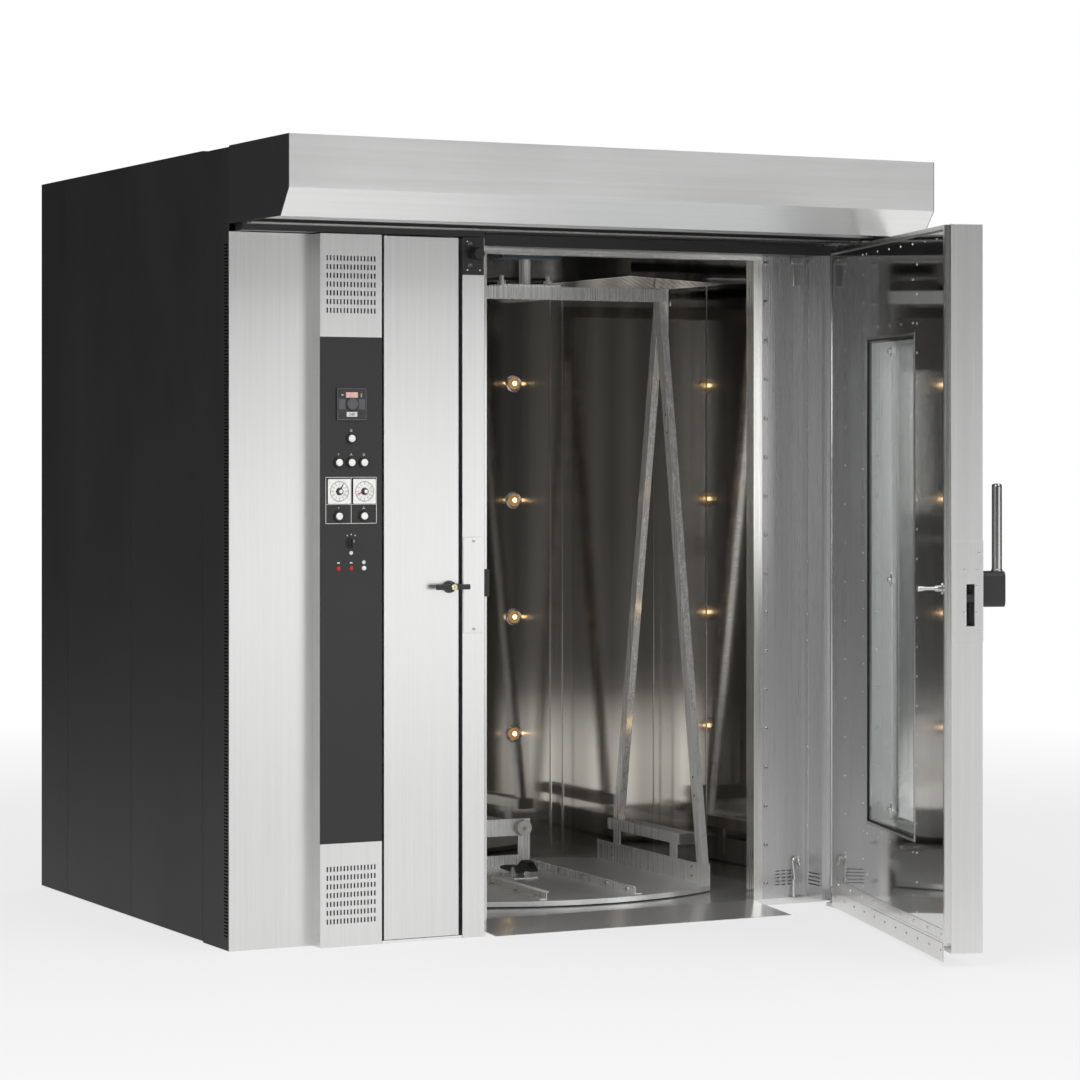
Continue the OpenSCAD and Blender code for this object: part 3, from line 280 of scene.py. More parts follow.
def moulded(name, color, rough, grain=2200.0, **sockets):
    """Moulded plastic with its fine spark-eroded grain."""
    look = Look(name, color, rough, **sockets)
    pits = look.noise((grain, grain, grain), 2.0)
    wear = look.noise((60.0, 60.0, 60.0), 3.0)
    look.color(look.spread(wear, 0, 1), shade(color, 0.92), shade(color, 1.08))
    look.roughness(look.spread(wear, rough - 0.05, rough + 0.06))
    look.bump(pits, 0.12, 0.0004)
    return look.material


def glowing(name, color, strength):
    """A lit lens: brighter in its middle grain, with a glass skin."""
    look = Look(name, color, 0.12, Emission_Strength=strength)
    grain = look.noise((120.0, 120.0, 120.0), 2.0)
    look.link(mix_colors(look.tree, look.spread(grain, 0, 1), shade(color, 0.85), color),
              look.shader.inputs["Emission Color"])
    look.color(look.spread(grain, 0, 1), shade(color, 0.8), color)
    return look.material


def pane(name, tint):
    """Clear tempered glass with faint wipe marks."""
    look = Look(name, tint, 0.02, Transmission_Weight=1.0, IOR=1.45)
    wipe = look.noise((9.0, 9.0, 30.0), 3.0)
    look.color(look.spread(wipe, 0, 1), shade(tint, 0.97), tint)
    look.roughness(look.spread(wipe, 0.0, 0.035, 0.45, 0.8))
    return look.material


# The hood is bare steel up to this distance on either side of the middle, and painted beyond it
HOOD_END = 1.0779
MATERIALS = {
    "casing": painted("charcoal_paint", (0.015, 0.015, 0.0155), 0.48, edge=0.003, Specular_IOR_Level=0.20),
    "black": painted("black_paint", (0.017, 0.017, 0.018), 0.38, 1400.0),
    "fascia": painted("black_film", (0.014, 0.014, 0.015), 0.33, 2600.0, 0.05),
    "front": brushed("brushed_front", (0.77, 0.77, 0.765), 0.30, "z", 0.05, edge=0.002),
    "hood": brushed("brushed_hood", (0.86, 0.86, 0.855), 0.34, "x", 0.03, painted_ends=HOOD_END),
    "door": brushed("brushed_door", (0.81, 0.81, 0.805), 0.31, "z", 0.05, edge=0.002),
    "throat": brushed("brushed_throat", (0.58, 0.58, 0.585), 0.27, "z", 0.06, spread=0.85, metallic=0.80),
    "chamber": polished("chamber_sheet", (0.70, 0.68, 0.64), 0.055, 0.0016, 0.93, 0.34),
    "inner": polished("inner_door_sheet", (0.66, 0.66, 0.66), 0.055, 0.0022, 0.6),
    "trim": polished("bright_trim", (0.70, 0.695, 0.68), 0.20, 0.0004),
    "zinc": galvanised("zinc_sheet", (0.60, 0.60, 0.585), 0.27),
    "legs": brushed("leg_sheet", (0.92, 0.92, 0.90), 0.27, "z", 0.08, 0.0005, 0.7,
                    edge=0.0025, metallic=0.60),
    "table": brushed("table_sheet", (0.92, 0.92, 0.91), 0.29, "y", 0.05, 0.0005,
                     edge=0.0015, metallic=0.60),
    "ramp": brushed("ramp_sheet", (0.84, 0.84, 0.835), 0.18, "x", 0.04, 0.0004, metallic=0.72),
    "plastic": moulded("black_plastic", (0.020, 0.020, 0.021), 0.42),
    "grey": moulded("grey_plastic", (0.085, 0.085, 0.09), 0.45),
    "white": moulded("white_plastic", (0.78, 0.78, 0.76), 0.30),
    "nylon": moulded("white_nylon", (0.74, 0.73, 0.70), 0.40),
    "print": moulded("pale_print", (0.62, 0.62, 0.62), 0.45),
    "pink": moulded("display_back", (0.50, 0.42, 0.41), 0.25, 400.0),
    "red": moulded("red_lens", (0.45, 0.02, 0.015), 0.16, 400.0),
    # Dark face of the controller; the same colour is painted shade in each slot, hole and vent opening
    "screen_and_shade": moulded("dark_screen_and_shade", (0.010, 0.009, 0.010), 0.10, 400.0),
    "digits": glowing("red_digits", (0.85, 0.16, 0.10), 0.8),
    "rubber": moulded("black_silicone", (0.018, 0.018, 0.018), 0.60, 900.0),
    "glass": pane("tempered_glass", (0.93, 0.955, 0.95)),
    "lamp": glowing("lamp_glass", (0.90, 0.50, 0.20), 0.16),
    "bulb": glowing("lamp_bulb", (1.0, 0.74, 0.40), 7.0),
    "rod": polished("rod_steel", (0.46, 0.46, 0.455), 0.22, 0.0),
    "screw": polished("screw_steel", (0.72, 0.71, 0.69), 0.20, 0.0),
    "brass": polished("key_brass", (0.70, 0.60, 0.42), 0.22, 0.0),
    "enamel": painted("motor_enamel", (0.07, 0.10, 0.12), 0.45, 1200.0),
    "heater": galvanised("heat_tinted", (0.32, 0.26, 0.20), 0.40),
}

NODE_LOOK = {
    "casing": ["casing_left", "louvre_panel", "casing_right", "casing_back", "roof_panel"],
    "black": ["post_fittings", "lintel", "rack_catch", "latch_bolt"],
    "fascia": ["control_fascia"],
    "front": ["front_panel", "control_column", "latch_post", "service_door"],
    "hood": ["hood"],
    "door": ["door_shell", "lock_plate"],
    "throat": ["jamb_left", "jamb_right"],
    "chamber": ["air_plenum", "chamber_lining"],
    "inner": ["door_inner", "ceiling_duct"],
    "trim": ["throat_trim", "inner_release", "door_seals"],
    "zinc": ["hinge_brackets", "hinge_arms", "circulation_fan"],
    "legs": ["side_frame_left", "side_frame_right", "bumper_left", "bumper_right", "top_beam",
             "rear_stop", "rack_rails"],
    "table": ["platform"],
    "ramp": ["floor_pan", "ramp"],
    "plastic": ["instruments", "handle", "wing_lock", "selector_knob", "timer_knob_left",
                "timer_knob_right", "vent_knob"],
    "grey": ["controller_knob"],
    "white": ["button_1", "button_2", "button_3", "button_4", "button_5", "button_6"],
    "nylon": ["rack_buffers"],
    "red": ["indicator_lamps"],
    "glass": ["window_glass"],
    "lamp": ["oven_lamps"],
    "enamel": ["gearmotor", "fan_motor"],
    "heater": ["heater_bank"],
}


def finish_nodes():
    """Gives every node of the frame its material."""
    for look, nodes in NODE_LOOK.items():
        for node in nodes:
            for part_slot in frame["nodes"][node].material_slots:
                part_slot.material = MATERIALS[look]


finish_nodes()

# ---- Floor, light and camera ----


def light_path(tree):
    """One where a ray from the camera, a reflection or a view through glass looks."""
    path = tree.nodes.new("ShaderNodeLightPath")
    total = path.outputs["Is Camera Ray"]
    for kind in ("Is Glossy Ray", "Is Transmission Ray"):
        add = tree.nodes.new("ShaderNodeMath")
        add.operation = "MAXIMUM"
        tree.links.new(total, add.inputs[0])
        tree.links.new(path.outputs[kind], add.inputs[1])
        total = add.outputs["Value"]
    return total, path.outputs["Is Camera Ray"]


def make_world():
    """White behind the object, soft grey bands in reflections and a plain level of light."""
    world = bpy.data.worlds.new("studio")
    bpy.context.scene.world = world
    world.use_nodes = True
    tree = world.node_tree
    seen, camera_ray = light_path(tree)
    coords = tree.nodes.new("ShaderNodeTexCoord")
    split = tree.nodes.new("ShaderNodeSeparateXYZ")
    tree.links.new(coords.outputs["Generated"], split.inputs["Vector"])

    def band(axis, stops):
        """Grey along one axis of the view direction, from -1 to 1."""
        scale = tree.nodes.new("ShaderNodeMapRange")
        scale.inputs["From Min"].default_value = -1
        scale.inputs["From Max"].default_value = 1
        tree.links.new(split.outputs[axis], scale.inputs["Value"])
        ramp_node = tree.nodes.new("ShaderNodeValToRGB")
        ramp = ramp_node.color_ramp
        while len(ramp.elements) < len(stops):
            ramp.elements.new(0.5)
        for element, (place, grey) in zip(ramp.elements, stops):
            element.position = (place + 1) / 2
            element.color = (grey, grey, grey, 1)
        tree.links.new(scale.outputs["Result"], ramp_node.inputs["Fac"])
        return ramp_node.outputs["Color"]

    heights = [(-1.0, 0.90), (-0.11, 0.90), (-0.065, 0.13), (0.06, 0.07), (0.40, 0.12), (1.0, 0.60)]
    depths = [(-1.0, 1.0), (-0.5, 0.95), (0.2, 0.42), (1.0, 0.30)]
    bands = mix_colors(tree, 1.0, band("Z", heights), band("Y", depths), "MULTIPLY")
    mirrored = mix_colors(tree, seen, (0.62, 0.62, 0.62), bands)
    white = mix_colors(tree, camera_ray, mirrored, (1, 1, 1))
    tree.links.new(white, tree.nodes["Background"].inputs["Color"])


def make_floor():
    """A pale floor that keeps the shadow and fades into the white behind it."""
    size = 14.0
    lift = 0.70
    fade_start, fade_stop = 3.2, 7.5
    mesh = bpy.data.meshes.new("floor")
    corners = [(-size, -size, 0), (size, -size, 0), (size, size, 0), (-size, size, 0)]
    mesh.from_pydata(corners, [], [(0, 1, 2, 3)])
    floor = add_object("floor", mesh)
    floor.location.z = -0.0008
    look = Look("pale_floor", (0.60, 0.60, 0.60), 0.7)
    tree = look.tree
    look.bump(look.noise((90.0, 90.0, 90.0), 3.0), 0.02, 0.001)

    def blend(factor, first, second):
        """A shader between two others."""
        node = tree.nodes.new("ShaderNodeMixShader")
        for output, socket in zip((factor, first, second), node.inputs):
            look.link(output, socket)
        return node.outputs[0]

    seen, _ = light_path(tree)
    glow = tree.nodes.new("ShaderNodeEmission")
    glow.inputs["Strength"].default_value = 1.0
    lifted = blend(look.combine(seen, lift, "MULTIPLY"), look.shader.outputs[0], glow.outputs[0])
    distance = tree.nodes.new("ShaderNodeVectorMath")
    distance.operation = "LENGTH"
    look.link(look.coords.outputs["Object"], distance.inputs[0])
    fade = look.spread(distance.outputs["Value"], 0, 1, fade_start, fade_stop)
    clear = tree.nodes.new("ShaderNodeBsdfTransparent")
    look.link(blend(fade, lifted, clear.outputs[0]), tree.nodes["Material Output"].inputs["Surface"])
    mesh.materials.append(look.material)


def area_light(name, place, target, size, watts, mirrored=True):
    """A soft rectangular light aimed at a point, which mirrors show if mirrored is set."""
    data = bpy.data.lights.new(name, "AREA")
    data.shape = "RECTANGLE"
    data.size, data.size_y = size
    data.energy = watts
    lamp = add_object(name, data)
    lamp.location = place
    lamp.rotation_euler = (Vector(target) - Vector(place)).to_track_quat("-Z", "Y").to_euler()
    lamp.visible_glossy = mirrored


EYE = (-4.821, -10.101, 1.466)
VIEW_TURN = math.radians(-27.19)


def make_camera():
    """The photograph's view: a long lens 27 degrees to the left of the front."""
    data = bpy.data.cameras.new("camera")
    data.lens = 113.8
    data.sensor_width = 36.0
    data.shift_y = -0.0846
    data.clip_end = 100.0
    camera = add_object("camera", data)
    camera.location = EYE
    camera.rotation_euler = (math.radians(90), 0, VIEW_TURN)
    bpy.context.scene.camera = camera


make_camera()
make_world()
make_floor()
area_light("key", (-7.5, -5.0, 5.5), (0, -0.6, 1.2), (5.0, 5.0), 330)
area_light("front", (3.4, -8.6, 7.2), (0.3, -0.8, 1.4), (6.0, 3.0), 190)
area_light("inner", (-1.7, -5.6, 1.9), (0.5, 0, 0.9), (1.6, 1.6), 36, False)
area_light("panel", (3.8, -8.6, 1.0), (0.3, -0.8, 1.0), (5.6, 2.2), 51)
area_light("left", (-7.5, -4.4, 1.5), (0.9, -0.8, 1.4), (2.4, 1.3), 34)
area_light("top", (0, -1.0, 7.0), (0, -0.4, 0), (5.0, 5.0), 140)
bpy.context.scene.view_settings.view_transform = "Standard"

# ---- Small parts ----


class Piece:
    """One mesh of small solids that share a look and a body."""

    def __init__(self, name, look, body, place=HERE, slot_name=None):
        self.name = name
        self.look = look
        self.body = body
        self.place = place
        self.slot_name = slot_name
        self.mesh = bmesh.new()

    def loop(self, matrix, points, height=0.0):
        """New vertices at (x, y) points, at a height above the matrix's plane."""
        return [self.mesh.verts.new(matrix @ Vector((x, y, height))) for x, y in points]

    def bridge(self, loops):
        """Faces between each loop and the next."""
        for first, second in zip(loops, loops[1:]):
            for k in range(len(first)):
                j = (k + 1) % len(first)
                self.mesh.faces.new([first[k], first[j], second[j], second[k]])

    def lathe(self, matrix, profile, sides=20):
        """Revolves (radius, height) pairs about the matrix's Z."""
        rings = [self.loop(matrix, circle(radius, sides) if radius else [(0, 0)], height)
                 for radius, height in profile]
        for first, second in zip(rings, rings[1:]):
            for i in range(sides):
                j = (i + 1) % sides
                corners = [first[i % len(first)], first[j % len(first)],
                           second[j % len(second)], second[i % len(second)]]
                unique = [v for k, v in enumerate(corners) if v not in corners[:k]]
                if len(unique) > 2:
                    self.mesh.faces.new(unique)
        for ring, flip in ((rings[0], True), (rings[-1], False)):
            if len(ring) > 2:
                self.mesh.faces.new(ring[::-1] if flip else ring)

    def ring(self, matrix, profile, sides):
        """Revolves a closed outline of (radius, height) pairs about the matrix's Z."""
        loops = [self.loop(matrix, circle(radius, sides), height) for radius, height in profile]
        self.bridge(loops + loops[:1])

    def prism(self, matrix, outline, depth):
        """Extrudes a flat outline from z = 0 to z = depth."""
        lower = self.loop(matrix, outline)
        upper = self.loop(matrix, outline, depth)
        self.mesh.faces.new(lower[::-1])
        self.mesh.faces.new(upper)
        self.bridge([lower, upper])

    def plate(self, matrix, width, height, depth, radius=0.001, hole=0.0, hole_sides=32):
        """A rounded plate, with a round hole in its middle if asked."""
        outline = rounded(width, height, radius)
        if not hole:
            self.prism(matrix, outline, depth)
            return
        outer = dense(outline, hole_sides)
        angles = [math.atan2(y, x) for x, y in outer]
        inner = [(hole * math.cos(a), hole * math.sin(a)) for a in angles]
        loops = [self.loop(matrix, points, z)
                 for points, z in ((outer, 0), (outer, depth), (inner, depth), (inner, 0))]
        self.bridge(loops + loops[:1])

    def tube(self, points, radius, sides=10):
        """A round rod along points."""
        rings = []
        points = [Vector(p) for p in points]
        for i, point in enumerate(points):
            ahead = points[min(i + 1, len(points) - 1)] - points[max(i - 1, 0)]
            turn = ahead.to_track_quat("Z", "Y").to_matrix().to_4x4()
            turn.translation = point
            rings.append(self.loop(turn, circle(radius, sides)))
        self.bridge(rings)
        self.mesh.faces.new(rings[0][::-1])
        self.mesh.faces.new(rings[-1])

    def done(self, bevel=0.0, smooth=True):
        """Makes the object, gives it its look and lets it ride on its body."""
        bmesh.ops.recalc_face_normals(self.mesh, faces=self.mesh.faces)
        mesh = bpy.data.meshes.new(self.name)
        self.mesh.to_mesh(mesh)
        self.mesh.free()
        piece = add_object(self.name, mesh)
        mesh.materials.append(MATERIALS[self.look])
        mesh.transform(self.place)
        if bevel:
            edge = piece.modifiers.new("edge", "BEVEL")
            edge.width = bevel
            edge.segments = 2
            edge.limit_method = "ANGLE"
        if smooth:
            for face in mesh.polygons:
                face.use_smooth = True
            mesh.set_sharp_from_angle(angle=math.radians(35))
        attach(piece, self.body)
        return piece


def circle(radius, sides):
    """Points round a circle."""
    angles = [2 * math.pi * k / sides for k in range(sides)]
    return [(radius * math.cos(a), radius * math.sin(a)) for a in angles]


def rounded(width, height, radius, steps=4):
    """The outline of a rounded rectangle."""
    points = []
    for cx, cy, start in ((1, 1, 0), (-1, 1, 90), (-1, -1, 180), (1, -1, 270)):
        for k in range(steps + 1):
            angle = math.radians(start + 90 * k / steps)
            points.append((cx * (width / 2 - radius) + radius * math.cos(angle),
                           cy * (height / 2 - radius) + radius * math.sin(angle)))
    return points


def dense(outline, least):
    """The outline with every long side divided."""
    length = sum(math.dist(a, b) for a, b in zip(outline, outline[1:] + outline[:1]))
    step = length / least
    points = []
    for a, b in zip(outline, outline[1:] + outline[:1]):
        count = max(1, round(math.dist(a, b) / step))
        points += [(a[0] + (b[0] - a[0]) * k / count, a[1] + (b[1] - a[1]) * k / count) for k in range(count)]
    return points


def at(point, normal, roll=0.0):
    """A matrix at a point whose Z looks along the normal."""
    turn = Vector(normal).to_track_quat("Z", "Y").to_matrix().to_4x4()
    return Matrix.Translation(Vector(point)) @ turn @ Matrix.Rotation(roll, 4, "Z")


def front_at(x, y, z):
    """A matrix on a plane that faces the front, with X to the right and Y up."""
    return Matrix.Translation((x, y, z)) @ Matrix.Rotation(math.radians(90), 4, "X")


def scaled(profile, radius):
    """A profile drawn at a radius of 1, at another radius."""
    return [(radius * across, radius * up) for across, up in profile]


# Heads at a radius of 1: a pan head with its recess, a bolt for six sides, and a blind rivet's
# flat dome with the mandrel's dimple
PAN_HEAD = [(1, 0), (1, 0.25), (0.86, 0.48), (0.55, 0.60), (0.40, 0.62), (0.32, 0.30), (0, 0.26)]
HEX_HEAD = [(1, 0), (1, 0.55), (0.9, 0.65), (0, 0.65)]
RIVET_HEAD = [(1, 0), (0.92, 0.22), (0.62, 0.42), (0.36, 0.46), (0.28, 0.30), (0, 0.28)]


def screws(piece, points, normal, radius):
    """Pan-head screws at points, each turned its own way."""
    for point in points:
        piece.lathe(at(point, normal, random.uniform(0, math.pi)), scaled(PAN_HEAD, radius), 14)


def rivets(piece, points, normal, radius):
    """Blind rivets at points."""
    for point in points:
        piece.lathe(at(point, normal), scaled(RIVET_HEAD, radius), 12)


def spaced(start, stop, pitch):
    """Evenly spaced places between two ends, near the pitch asked for."""
    count = max(1, round((stop - start) / pitch))
    return [start + (stop - start) * k / count for k in range(count + 1)]


# ---- Control fascia ----

BEZEL = 0.005
PRINT = 0.0003
FRONT = FACE - BEZEL
FASCIA_MID = middle("control_column").x
VENT_Z = [(corner("control_column").z + corner("control_fascia").z) / 2 for corner in (low, high)]
TIMER_X = [middle("timer_knob_left").x, middle("timer_knob_right").x]
TIMER_Z = middle("timer_knob_left").z
CONTROLLER_Z = middle("controller_knob").z
SELECTOR_Z = middle("selector_knob").z
PILOT_Z = middle("indicator_lamps").z
PILOT_R = 0.0075
PILOT_X = [low("indicator_lamps").x + PILOT_R, FASCIA_MID, high("indicator_lamps").x - PILOT_R]
BUTTONS = [middle("button_%d" % number) for number in range(1, 7)]


def ring_mark(piece, x, z, radius, line, y=FACE):
    """A printed ring."""
    inside = radius - line
    piece.ring(front_at(x, y, z), [(inside, 0.0), (radius, 0.0), (radius, PRINT), (inside, PRINT)], 20)


def dot_mark(piece, x, z, radius, sides=20):
    """A printed disc."""
    piece.lathe(front_at(x, FACE, z), [(radius, 0.0), (radius, PRINT), (0.0, PRINT)], sides)


def bar_mark(piece, x, z, width, height, roll=0.0, y=FACE, depth=PRINT):
    """A printed bar, turned about its middle."""
    matrix = front_at(x, y, z) @ Matrix.Rotation(roll, 4, "Z")
    w, h = width / 2, height / 2
    piece.prism(matrix, [(-w, -h), (w, -h), (w, h), (-w, h)], depth)


def ribs_round(piece, place, radius, count, outline, length):
    """Ribs round a knob that faces the front."""
    x, y, z = place
    for k in range(count):
        angle = 2 * math.pi * k / count
        matrix = front_at(x + radius * math.sin(angle), y, z + radius * math.cos(angle))
        piece.prism(matrix @ Matrix.Rotation(-angle, 4, "Z"), outline, length)


def figure_mesh(text, size, x, y, z, depth=0.0002):
    """Plain figures, set flat on a face that looks to the front."""
    curve = bpy.data.curves.new("figures", "FONT")
    curve.body = text
    curve.size = size
    curve.extrude = depth / 2
    curve.align_x = "CENTER"
    curve.align_y = "CENTER"
    holder = add_object("figures", curve)
    bpy.context.view_layer.update()
    mesh = bpy.data.meshes.new_from_object(holder)
    bpy.data.objects.remove(holder)
    mesh.transform(front_at(x, y - depth / 2, z))
    return mesh


def numerals(name, look, body, entries):
    """One piece made of several figures; an entry is text, size, x, y, z."""
    joined = bmesh.new()
    for entry in entries:
        mesh = figure_mesh(*entry)
        joined.from_mesh(mesh)
        bpy.data.meshes.remove(mesh)
    mesh = bpy.data.meshes.new(name)
    joined.to_mesh(mesh)
    joined.free()
    mesh.materials.clear()
    mesh.materials.append(MATERIALS[look])
    piece = add_object(name, mesh)
    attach(piece, body)


def make_controller():
    """The temperature controller's face: two windows, a grey band round the knob and plain figures."""
    side = 0.086
    skin = 0.0008
    front = FRONT - skin

    def here(dx, dz, y=front):
        """A matrix on the controller, measured from its middle."""
        return front_at(FASCIA_MID + dx, y, CONTROLLER_Z + dz)

    face = Piece("controller_face", "screen_and_shade", "cabinet")
    face.plate(here(0, 0, FRONT), side, side, skin, 0.003, 0.0200, 48)
    face.done()
    band = Piece("controller_band", "grey", "cabinet")
    for dx in (-0.0315, 0.0315):
        band.plate(here(dx, 0), 0.021, 0.030, 0.0006)
    band.done()
    rim = Piece("controller_rim", "grey", "cabinet")
    for reach in (-0.0455, 0.0455):
        rim.plate(here(reach, 0, FRONT), 0.003, 0.094, 0.0016)
        rim.plate(here(0, reach, FRONT), 0.094, 0.003, 0.0016)
    rim.done(0.0004)
    windows = Piece("controller_windows", "print", "cabinet")
    windows.plate(here(0, -0.030), 0.034, 0.014, 0.0005)
    for dx, dz, width, height in ((-0.031, 0.028, 0.007, 0.0015), (-0.031, 0.025, 0.004, 0.0015),
                                  (0.030, 0.022, 0.005, 0.0014), (0.030, 0.026, 0.005, 0.0014),
                                  (0.030, 0.030, 0.005, 0.0014)):
        bar_mark(windows, FASCIA_MID + dx, CONTROLLER_Z + dz, width, height, 0, front)
    windows.done()
    display = Piece("controller_display", "pink", "cabinet")
    display.plate(here(0, 0.027), 0.038, 0.016, 0.0004)
    display.done()
    numerals("controller_figures", "digits", "cabinet",
             [(figure, 0.017, FASCIA_MID + dx, front - 0.0004, CONTROLLER_Z + 0.027)
              for figure, dx in (("2", -0.011), ("4", 0), ("0", 0.011))])
    numerals("controller_set_figures", "screen_and_shade", "cabinet",
             [("240", 0.013, FASCIA_MID, front - 0.0005, CONTROLLER_Z - 0.030)])
    ribs = Piece("controller_knob_ribs", "grey", "controller_knob")
    knob_front = low("controller_knob").y
    ribs_round(ribs, (FASCIA_MID, knob_front + 0.0105, CONTROLLER_Z), 0.0166, 28,
               [(-0.0007, 0), (0.0007, 0), (0.0004, 0.0020), (-0.0004, 0.0020)], 0.0095)
    bar_mark(ribs, FASCIA_MID, CONTROLLER_Z + 0.010, 0.0016, 0.009, 0, knob_front, 0.0006)
    ribs.done()


def make_timers():
    """Two white timers: square face, dial with its scale and figures, knob cap and pointer."""
    side = 0.073
    skin = 0.0014
    dial = FRONT - skin
    faces = Piece("timer_faces", "white", "cabinet")
    for x in TIMER_X:
        faces.plate(front_at(x, FRONT, TIMER_Z), side, side, skin, 0.003, 0.0110, 48)
    faces.done(0.0003)
    ticks = Piece("timer_scales", "plastic", "cabinet")
    entries = []
    for x in TIMER_X:
        for k in range(60):
            angle = 2 * math.pi * k / 60
            width, length = (0.0007, 0.0022) if k % 5 else (0.0011, 0.0042)
            radius = 0.0292 - length / 2
            bar_mark(ticks, x + radius * math.sin(angle), TIMER_Z + radius * math.cos(angle),
                     width, length, -angle, dial)
        ring_mark(ticks, x, TIMER_Z, 0.0302, 0.0007, dial)
        for k in range(12):
            angle = 2 * math.pi * k / 12
            entries.append((str(5 * k), 0.0050, x + 0.0208 * math.sin(angle), dial,
                            TIMER_Z + 0.0208 * math.cos(angle)))
    ticks.done()
    numerals("timer_figures", "plastic", "cabinet", entries)
    knob_front = low("timer_knob_left").y
    for x, body, angle, look in ((TIMER_X[0], "timer_left", 0.5, "plastic"),
                                 (TIMER_X[1], "timer_right", -1.9, "red")):
        cap = Piece(body + "_cap", "white", body)
        cap.lathe(front_at(x, knob_front, TIMER_Z),
                  [(0.0055, 0.0), (0.0055, 0.0008), (0.0045, 0.0013), (0.0, 0.0014)], 24)
        cap.done()
        hand = Piece(body + "_pointer", look, body)
        matrix = front_at(x, FRONT - 0.0022, TIMER_Z) @ Matrix.Rotation(-angle, 4, "Z")
        hand.prism(matrix, [(-0.0022, 0.0090), (0.0022, 0.0090), (0.0007, 0.0260), (-0.0007, 0.0260)],
                   0.0008)
        hand.done()


def make_button_marks(marks):
    """A plain mark above each button: a star, a ring or a T."""
    for number, button in enumerate(BUTTONS, 1):
        x, z = button.x, button.z + 0.0235
        if number % 3 == 0:
            for k in range(3):
                angle = 2 * math.pi * k / 3
                bar_mark(marks, x + 0.0024 * math.sin(angle), z + 0.0024 * math.cos(angle),
                         0.0014, 0.0045, -angle)
        elif number % 3 == 1:
            ring_mark(marks, x, z, 0.0038, 0.0009)
            bar_mark(marks, x, z, 0.0010, 0.0042)
        else:
            bar_mark(marks, x, z + 0.0022, 0.0058, 0.0010)
            bar_mark(marks, x, z, 0.0010, 0.0050)


def make_fascia_print():
    """The outline round the timers and the plain marks of buttons, selector and pilot lamps."""
    marks = Piece("fascia_marks", "print", "cabinet")
    line = 0.0016
    left, right = FASCIA_MID - 0.0815, FASCIA_MID + 0.0815
    lower, upper = 1.2455, 1.3815
    for z in (lower, upper):
        bar_mark(marks, FASCIA_MID, z, right - left, line)
    for x in (left, FASCIA_MID, right):
        bar_mark(marks, x, (lower + upper) / 2, line, upper - lower)
    bar_mark(marks, FASCIA_MID, TIMER_Z - 0.0385, right - left, line)
    make_button_marks(marks)
    for angle in (-0.5, 0.0, 0.5):
        dot_mark(marks, FASCIA_MID + 0.026 * math.sin(angle), SELECTOR_Z + 0.026 * math.cos(angle),
                 0.0018, 14)
    dot_mark(marks, FASCIA_MID, SELECTOR_Z - 0.0285, 0.0058)
    for x in PILOT_X[:2]:
        bar_mark(marks, x, PILOT_Z + 0.0165, 0.0085, 0.0034)
    dot_mark(marks, PILOT_X[2], PILOT_Z + 0.0175, 0.0055)
    marks.done()
    marking = Piece("selector_mark", "print", "selector")
    marking.plate(front_at(FASCIA_MID, low("selector_knob").y, SELECTOR_Z + 0.007),
                  0.0016, 0.008, 0.0003, 0.0004)
    marking.done()


def make_pilot_lenses():
    """Two red lenses and a white one in their collars."""
    lens = [(0.0068, 0.0), (0.0068, 0.0030), (0.0060, 0.0034), (0.0058, 0.0048), (0.0046, 0.0064),
            (0.0024, 0.0072), (0.0, 0.0074)]
    red = Piece("pilot_lenses_red", "red", "cabinet", slot_name="pilot_red")
    for x in PILOT_X[:2]:
        red.lathe(front_at(x, FACE, PILOT_Z), lens, 24)
    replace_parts(red.done(), "indicator_lamps")
    white = Piece("pilot_lens_white", "white", "cabinet", slot_name="white_plastic")
    white.lathe(front_at(PILOT_X[2], FACE, PILOT_Z), lens, 24)
    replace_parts(white.done(), "indicator_lamps")


# ---- Post, service door and hood ----

POST_X = middle("latch_post").x
POST_PLATE_Y = low("post_fittings").y
KNOB_X, _, KNOB_Z = JOINTS["vent_knob_turn"]["pos_m"]


def make_key_cylinder():
    """The brass cylinder of the service door's lock, with a dark mark of painted shade in its key slot."""
    x, _, z = JOINTS["wing_lock_turn"]["pos_m"]
    front = low("wing_lock").y
    barrel = Piece("key_cylinder", "brass", "wing_lock")
    barrel.lathe(front_at(x, front, z), [(0.0095, 0.0), (0.0095, 0.0040), (0.0085, 0.0052),
                                         (0.0070, 0.0052), (0.0066, 0.0046), (0.0, 0.0046)], 28)
    barrel.done()
    # Painted shade: a dark mark stands for the shade inside the key slot
    keyway_shade = Piece("key_slot_shade", "screen_and_shade", "wing_lock")
    keyway_shade.plate(front_at(x, front - 0.0046, z), 0.0016, 0.0085, 0.0003, 0.0006)
    keyway_shade.done()


def make_post_fittings():
    """Screws of the post and its plate, the vent knob's marks and the ribs round it."""
    fixings = Piece("post_screws", "screw", "cabinet")
    screws(fixings, [(POST_X, FACE - 0.002, z) for z in (0.925, 1.189)], (0, -1, 0), 0.0055)
    corners = ((-0.022, 2.088), (-0.022, 2.002), (0.020, 2.002))
    screws(fixings, [(POST_X + dx, POST_PLATE_Y, z) for dx, z in corners], (0, -1, 0), 0.0035)
    fixings.done()
    marks = Piece("vent_marks", "trim", "cabinet")
    for dz in (0.031, -0.034):
        for k in (-1, 0, 1):
            bar_mark(marks, POST_X - 0.012 + k * 0.005, KNOB_Z + dz, 0.0018, 0.010, 0.3 * k, POST_PLATE_Y)
    marks.done()
    grips = Piece("vent_knob_grips", "plastic", "vent_knob")
    ribs_round(grips, (KNOB_X, low("vent_knob").y + 0.021, KNOB_Z), 0.0168, 16,
               [(-0.0016, 0), (0.0016, 0), (0.0010, 0.0022), (-0.0010, 0.0022)], 0.019)
    grips.done(0.0004)


